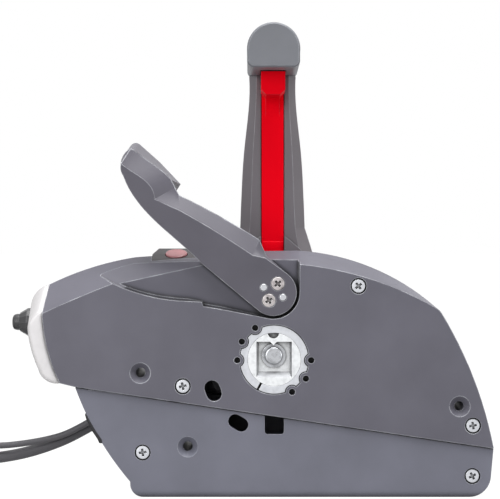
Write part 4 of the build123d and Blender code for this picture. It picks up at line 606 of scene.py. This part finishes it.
# Crimped terminals on the three wires: distance along each bullet and its radius there, in millimetres
TERMINAL_PROFILE = [
    (-0.1, 1.2), (0.0, 1.5), (3.2, 1.5), (3.6, 1.2), (5.6, 1.2), (6.0, 1.5), (8.6, 1.5), (9.0, 1.1), (9.6, 0.8),
    (15.0, 0.8), (15.6, 0.62), (16.2, 0.8), (19.0, 0.8), (19.8, 0.5), (20.0, 0.2),
]
CRIMP_FROM = 3.5
CRIMP_TO = 5.7
CRIMP_SQUEEZE = 0.78


def turned_piece(name, profile, sides=32):
    """A turned piece on Z: a circle extruded ring by ring along (distance, radius) points, in millimetres."""
    deselect_all()
    start_z, start_r = profile[0]
    bpy.ops.mesh.primitive_circle_add(vertices=sides, radius=start_r, fill_type="NGON", location=(0, 0, start_z))
    piece = bpy.context.object
    piece.name = piece.data.name = name
    bpy.ops.object.transform_apply(location=True, rotation=False, scale=False)
    bpy.ops.object.mode_set(mode="EDIT")
    bpy.ops.mesh.select_all(action="SELECT")
    for (low_z, low_r), (high_z, high_r) in zip(profile, profile[1:]):
        bpy.ops.mesh.extrude_region_move(TRANSFORM_OT_translate={"value": (0, 0, high_z - low_z)})
        scale = high_r / low_r
        bpy.ops.transform.resize(value=(scale, scale, 1), center_override=(0, 0, high_z))
    bpy.ops.mesh.select_all(action="SELECT")
    bpy.ops.mesh.remove_doubles(threshold=0.001)
    bpy.ops.mesh.normals_make_consistent(inside=False)
    bpy.ops.object.mode_set(mode="OBJECT")
    return piece


def seat_piece(piece, place, along, material, body, node, smooth=35):
    """Turns a piece from Z to its own direction, scales it to metres and hands it to the frame."""
    turn = Vector(along).to_track_quat("Z", "Y").to_matrix().to_4x4()
    piece.data.transform(Matrix.Translation(place) @ turn @ Matrix.Scale(0.001, 4))
    bpy.ops.object.shade_smooth_by_angle(angle=math.radians(smooth))
    piece.data.materials.clear()
    piece.data.materials.append(material)
    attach(piece, body)
    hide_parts(node)


def crimped_terminal(name, route):
    """A bullet terminal with its crimp squeezed flat."""
    last, before = Vector(route[-1]) / 1000, Vector(route[-2]) / 1000
    terminal = turned_piece(name, TERMINAL_PROFILE, 24)
    for vertex in terminal.data.vertices:
        if CRIMP_FROM < vertex.co.z < CRIMP_TO:
            vertex.co.y *= CRIMP_SQUEEZE
    seat_piece(terminal, last, last - before, tinned_brass, "housing", "wire_terminals")
    return terminal


def cut_out(piece, cutter):
    """Takes the cutter's shape out of the piece."""
    deselect_all()
    piece.select_set(True)
    bpy.context.view_layer.objects.active = piece
    cut = piece.modifiers.new("cut", "BOOLEAN")
    cut.operation = "DIFFERENCE"
    cut.solver = "EXACT"
    cut.object = cutter
    bpy.ops.object.modifier_apply(modifier="cut")
    bpy.data.objects.remove(cutter)


def tapered_arm(width, length, top, depth, turn):
    """A wedge for cutting one arm of a cross recess or a key slot: wide at the top, narrow below."""
    deselect_all()
    bpy.ops.mesh.primitive_cube_add(size=1, location=(0, 0, 0))
    arm = bpy.context.object
    bpy.ops.object.mode_set(mode="EDIT")
    bpy.ops.mesh.select_all(action="SELECT")
    bpy.ops.transform.resize(value=(length, width, depth * 2), center_override=(0, 0, 0))
    bpy.ops.transform.translate(value=(0, 0, top))
    bpy.ops.object.mode_set(mode="OBJECT")
    for vertex in arm.data.vertices:
        if vertex.co.z < top:
            vertex.co.x *= 0.6
            vertex.co.y *= 0.7
    arm.data.transform(Matrix.Rotation(math.radians(turn), 4, "Z"))
    return arm


def screw_head(name, x, y, z, turn, radius, material, body, node):
    """A pan head with a rolled edge and a cross recess, seated on the screw's own axis."""
    head = turned_piece(name, [(along, radius * share) for along, share in SCREW_PROFILE], 40)
    top = SCREW_PROFILE[-1][0]
    for quarter in (0, 90):
        cut_out(head, tapered_arm(CROSS_WIDTH, CROSS_SPAN, top, CROSS_DEPTH, turn + quarter))
    deselect_all()
    head.select_set(True)
    bpy.context.view_layer.objects.active = head
    place = Vector((x, y + top, z)) / 1000
    seat_piece(head, place, (0, -1, 0), material, body, node, 30)


# Screw heads: height against share of the radius, their cross recess, and where each one sits (X, Y, Z, turn)
SCREW_PROFILE = [(0.0, 0.96), (0.9, 1.0), (1.5, 0.99), (1.8, 0.92), (1.9, 0.8), (1.9, 0.05)]
CROSS_WIDTH = 1.9
CROSS_SPAN = 6.6
CROSS_DEPTH = 1.75
COVER_SCREW_R = 4.8
COVER_SCREWS = [
    (-63.1, 0.3, -18.4, 12), (58.2, 0.3, 50.8, 38), (137.2, 0.3, -45.6, 10), (-90.9, 2.1, -64.3, 8),
    (137.0, 2.1, -80.6, 28),
]
LEVER_SCREW_R = 4.7
LEVER_SCREWS = [(2.5, 0.2, 52.4, 40), (-3.7, 0.2, 40.8, 30)]
for number, (x, y, z, turn) in enumerate(COVER_SCREWS):
    screw_head(f"cover_screw_head_{number}", x, y, z, turn, COVER_SCREW_R, zinc, "housing", "cover_screws")
for number, (x, y, z, turn) in enumerate(LEVER_SCREWS):
    screw_head(f"lever_screw_head_{number}", x, y, z, turn, LEVER_SCREW_R, worn_zinc, "fast_idle",
               "lever_screws")

# Key switch: a tapered ring nut and the round-nosed knob with its key slot, measured from the bezel's seat
KEY_SEAT = Vector((-0.1702, 0.038, 0.0243))
KEY_NUT_PROFILE = [(0.0, 9.9), (5.0, 9.9), (5.7, 9.4), (10.3, 6.7), (10.4, 6.4), (1.0, 6.4), (1.0, 0.3)]
KEY_KNOB_PROFILE = [
    (0.4, 5.8), (12.4, 5.8), (13.9, 5.5), (15.0, 4.8), (15.6, 3.6), (15.8, 2.0), (15.8, 0.2),
]
key_nut = turned_piece("key_nut_shell", KEY_NUT_PROFILE, 12)
seat_piece(key_nut, KEY_SEAT, (-1, 0, 0), black_skin, "housing", "key_switch_nut", 20)
key_nose = turned_piece("key_knob_nose", KEY_KNOB_PROFILE, 40)
cut_out(key_nose, tapered_arm(2.2, 8.0, KEY_KNOB_PROFILE[-1][0], 2.0, 0))
deselect_all()
key_nose.select_set(True)
bpy.context.view_layer.objects.active = key_nose
seat_piece(key_nose, KEY_SEAT, (-1, 0, 0), black_skin, "key_knob", "key_knob")


def moulded_strip(name, stations, near_y, far_y, round_over, material, body="housing"):
    """A moulded strip: its end edge extruded from station to station, then thickened and rounded over."""
    deselect_all()
    bpy.ops.mesh.primitive_plane_add(size=1, location=(0, 0, 0))
    strip = bpy.context.object
    strip.name = strip.data.name = name
    for vertex in strip.data.vertices:
        station = stations[0] if vertex.co.y < 0 else stations[1]
        x, z = station[0] if vertex.co.x < 0 else station[1]
        vertex.co = (x, near_y, z)
    for (last_left, last_right), (left, right) in zip(stations[1:], stations[2:]):
        ends = [Vector((last_left[0], near_y, last_left[1])), Vector((last_right[0], near_y, last_right[1]))]
        for vertex in strip.data.vertices:
            vertex.select = min((vertex.co - end).length for end in ends) < 0.001
        for edge in strip.data.edges:
            edge.select = all(strip.data.vertices[index].select for index in edge.vertices)
        for face in strip.data.polygons:
            face.select = False
        bpy.ops.object.mode_set(mode="EDIT")
        bpy.ops.mesh.select_mode(type="EDGE")
        bpy.ops.mesh.extrude_region_move(TRANSFORM_OT_translate={"value": (0, 0, 0)})
        bpy.ops.object.mode_set(mode="OBJECT")
        for vertex in strip.data.vertices:
            if vertex.select:
                first = (vertex.co - ends[0]).length < (vertex.co - ends[1]).length
                x, z = left if first else right
                vertex.co = (x, near_y, z)
    bpy.ops.object.mode_set(mode="EDIT")
    bpy.ops.mesh.select_mode(type="FACE")
    bpy.ops.mesh.select_all(action="SELECT")
    bpy.ops.mesh.extrude_region_move(TRANSFORM_OT_translate={"value": (0, far_y - near_y, 0)})
    bpy.ops.mesh.select_all(action="SELECT")
    bpy.ops.mesh.normals_make_consistent(inside=False)
    bpy.ops.object.mode_set(mode="OBJECT")
    edge_round = strip.modifiers.new("round over", "BEVEL")
    edge_round.width = round_over
    edge_round.segments = 3
    edge_round.limit_method = "ANGLE"
    bpy.ops.object.modifier_apply(modifier="round over")
    strip.data.transform(Matrix.Scale(0.001, 4))
    bpy.ops.object.shade_smooth_by_angle(angle=math.radians(35))
    strip.data.materials.clear()
    strip.data.materials.append(material)
    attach(strip, body)


# Rubber lip of the grommet where it shows at the slanted edge, and the bead beside the seam: outer and inner points
GROMMET_LIP = [
    ((-130.9, -38.0), (-129.6, -38.4)), ((-129.7, -41.6), (-127.2, -42.8)), ((-126.2, -49.0), (-123.2, -49.6)),
    ((-122.2, -54.9), (-119.2, -55.4)), ((-120.9, -57.8), (-118.9, -58.0)),
]
SEAM_BEAD = [
    ((-128.4, -20.4), (-128.6, -21.3)), ((-110.0, -22.9), (-110.1, -23.6)), ((-88.0, -26.1), (-88.1, -26.4)),
]
moulded_strip("grommet_lip", GROMMET_LIP, 1.4, 15.0, 0.4, black_rubber)
moulded_strip("seam_bead", SEAM_BEAD, 1.3, 2.4, 0.2, lower_skin)

# Full-width foot of the lock bar, over its tongue
BAR_FOOT = [((-8.1, 82.0), (8.1, 82.0)), ((-8.1, 73.6), (8.1, 73.6))]
BAR_NEAR_Y = 78.7
moulded_strip("lock_bar_foot", BAR_FOOT, BAR_NEAR_Y, BAR_NEAR_Y + 1.9, 0.25, red_gloss, "lock_bar")


terminals = {colour: crimped_terminal(f"terminal_{colour}", route) for colour, route in WIRE_ROUTES.items()}


def seen_or_mirrored(tree):
    """1 for the camera's own rays and for those of metal and glass, 0 for the light that falls on the object."""
    seen = tree.nodes.new("ShaderNodeLightPath")
    either = tree.nodes.new("ShaderNodeMath")
    either.operation = "MAXIMUM"
    any_of_them = tree.nodes.new("ShaderNodeMath")
    any_of_them.operation = "MAXIMUM"
    tree.links.new(seen.outputs["Is Camera Ray"], either.inputs[0])
    tree.links.new(seen.outputs["Is Glossy Ray"], either.inputs[1])
    tree.links.new(either.outputs["Value"], any_of_them.inputs[0])
    tree.links.new(seen.outputs["Is Transmission Ray"], any_of_them.inputs[1])
    return any_of_them.outputs["Value"]


def make_floor():
    """Pale floor, white to the camera but still taking the object's shadow."""
    deselect_all()
    bpy.ops.mesh.primitive_plane_add(size=60, location=(0, 0, 0))
    floor = bpy.context.object
    floor.name = "floor"
    floor.data.transform(Matrix.Translation((0, 25, FLOOR_Z)))
    material, tree, shader = start_material("pale floor")
    shader.inputs["Base Color"].default_value = (FLOOR_GREY, FLOOR_GREY, FLOOR_GREY, 1)
    shader.inputs["Roughness"].default_value = 0.9
    shader.inputs["Specular IOR Level"].default_value = 0.1
    white = tree.nodes.new("ShaderNodeEmission")
    share = tree.nodes.new("ShaderNodeMath")
    share.operation = "MULTIPLY"
    share.inputs[1].default_value = FLOOR_WHITE_SHARE
    white.inputs["Strength"].default_value = FLOOR_WHITE
    mix = tree.nodes.new("ShaderNodeMixShader")
    out = tree.nodes["Material Output"]
    tree.links.new(seen_or_mirrored(tree), share.inputs[0])
    tree.links.new(share.outputs["Value"], mix.inputs["Fac"])
    tree.links.new(shader.outputs["BSDF"], mix.inputs[1])
    tree.links.new(white.outputs["Emission"], mix.inputs[2])
    tree.links.new(mix.outputs["Shader"], out.inputs["Surface"])
    floor.data.materials.append(material)


def make_world():
    """White backdrop for the camera and for reflections, soft pale light on the object."""
    world = bpy.data.worlds.new("studio")
    bpy.context.scene.world = world
    world.use_nodes = True
    tree = world.node_tree
    back = tree.nodes["Background"]
    back.inputs["Color"].default_value = (1, 1, 1, 1)
    strength = tree.nodes.new("ShaderNodeMapRange")
    strength.inputs["To Min"].default_value = WORLD_LIGHT
    strength.inputs["To Max"].default_value = 1.0
    tree.links.new(seen_or_mirrored(tree), strength.inputs["Value"])
    tree.links.new(strength.outputs["Result"], back.inputs["Strength"])


def soft_lamp(name, place, target, size, power):
    """A square area lamp aimed at a point."""
    data = bpy.data.lights.new(name, "AREA")
    data.size = size
    data.energy = power
    lamp = bpy.data.objects.new(name, data)
    lamp.location = place
    lamp.rotation_euler = (Vector(target) - Vector(place)).to_track_quat("-Z", "Y").to_euler()
    bpy.context.scene.collection.objects.link(lamp)


def make_camera():
    """The photo's viewpoint."""
    data = bpy.data.cameras.new("camera")
    data.sensor_width = 36
    data.lens = CAMERA_LENS
    data.clip_start = 0.05
    data.clip_end = 100
    camera = bpy.data.objects.new("camera", data)
    camera.location = (CAMERA_X, -CAMERA_AWAY, CAMERA_Z)
    camera.rotation_euler = (math.radians(90), 0, 0)
    bpy.context.scene.collection.objects.link(camera)
    bpy.context.scene.camera = camera


make_camera()
make_floor()
make_world()
soft_lamp("key lamp", (-0.9, -1.3, 0.45), (0, 0, 0.0), 1.0, 10.5)
soft_lamp("top lamp", (0.1, -0.2, 1.45), (0, 0, 0.0), 1.2, 32)
soft_lamp("side lamp", (1.3, -0.7, 0.2), (0, 0, 0.0), 0.9, 5)
bpy.context.scene.view_settings.view_transform = "Standard"
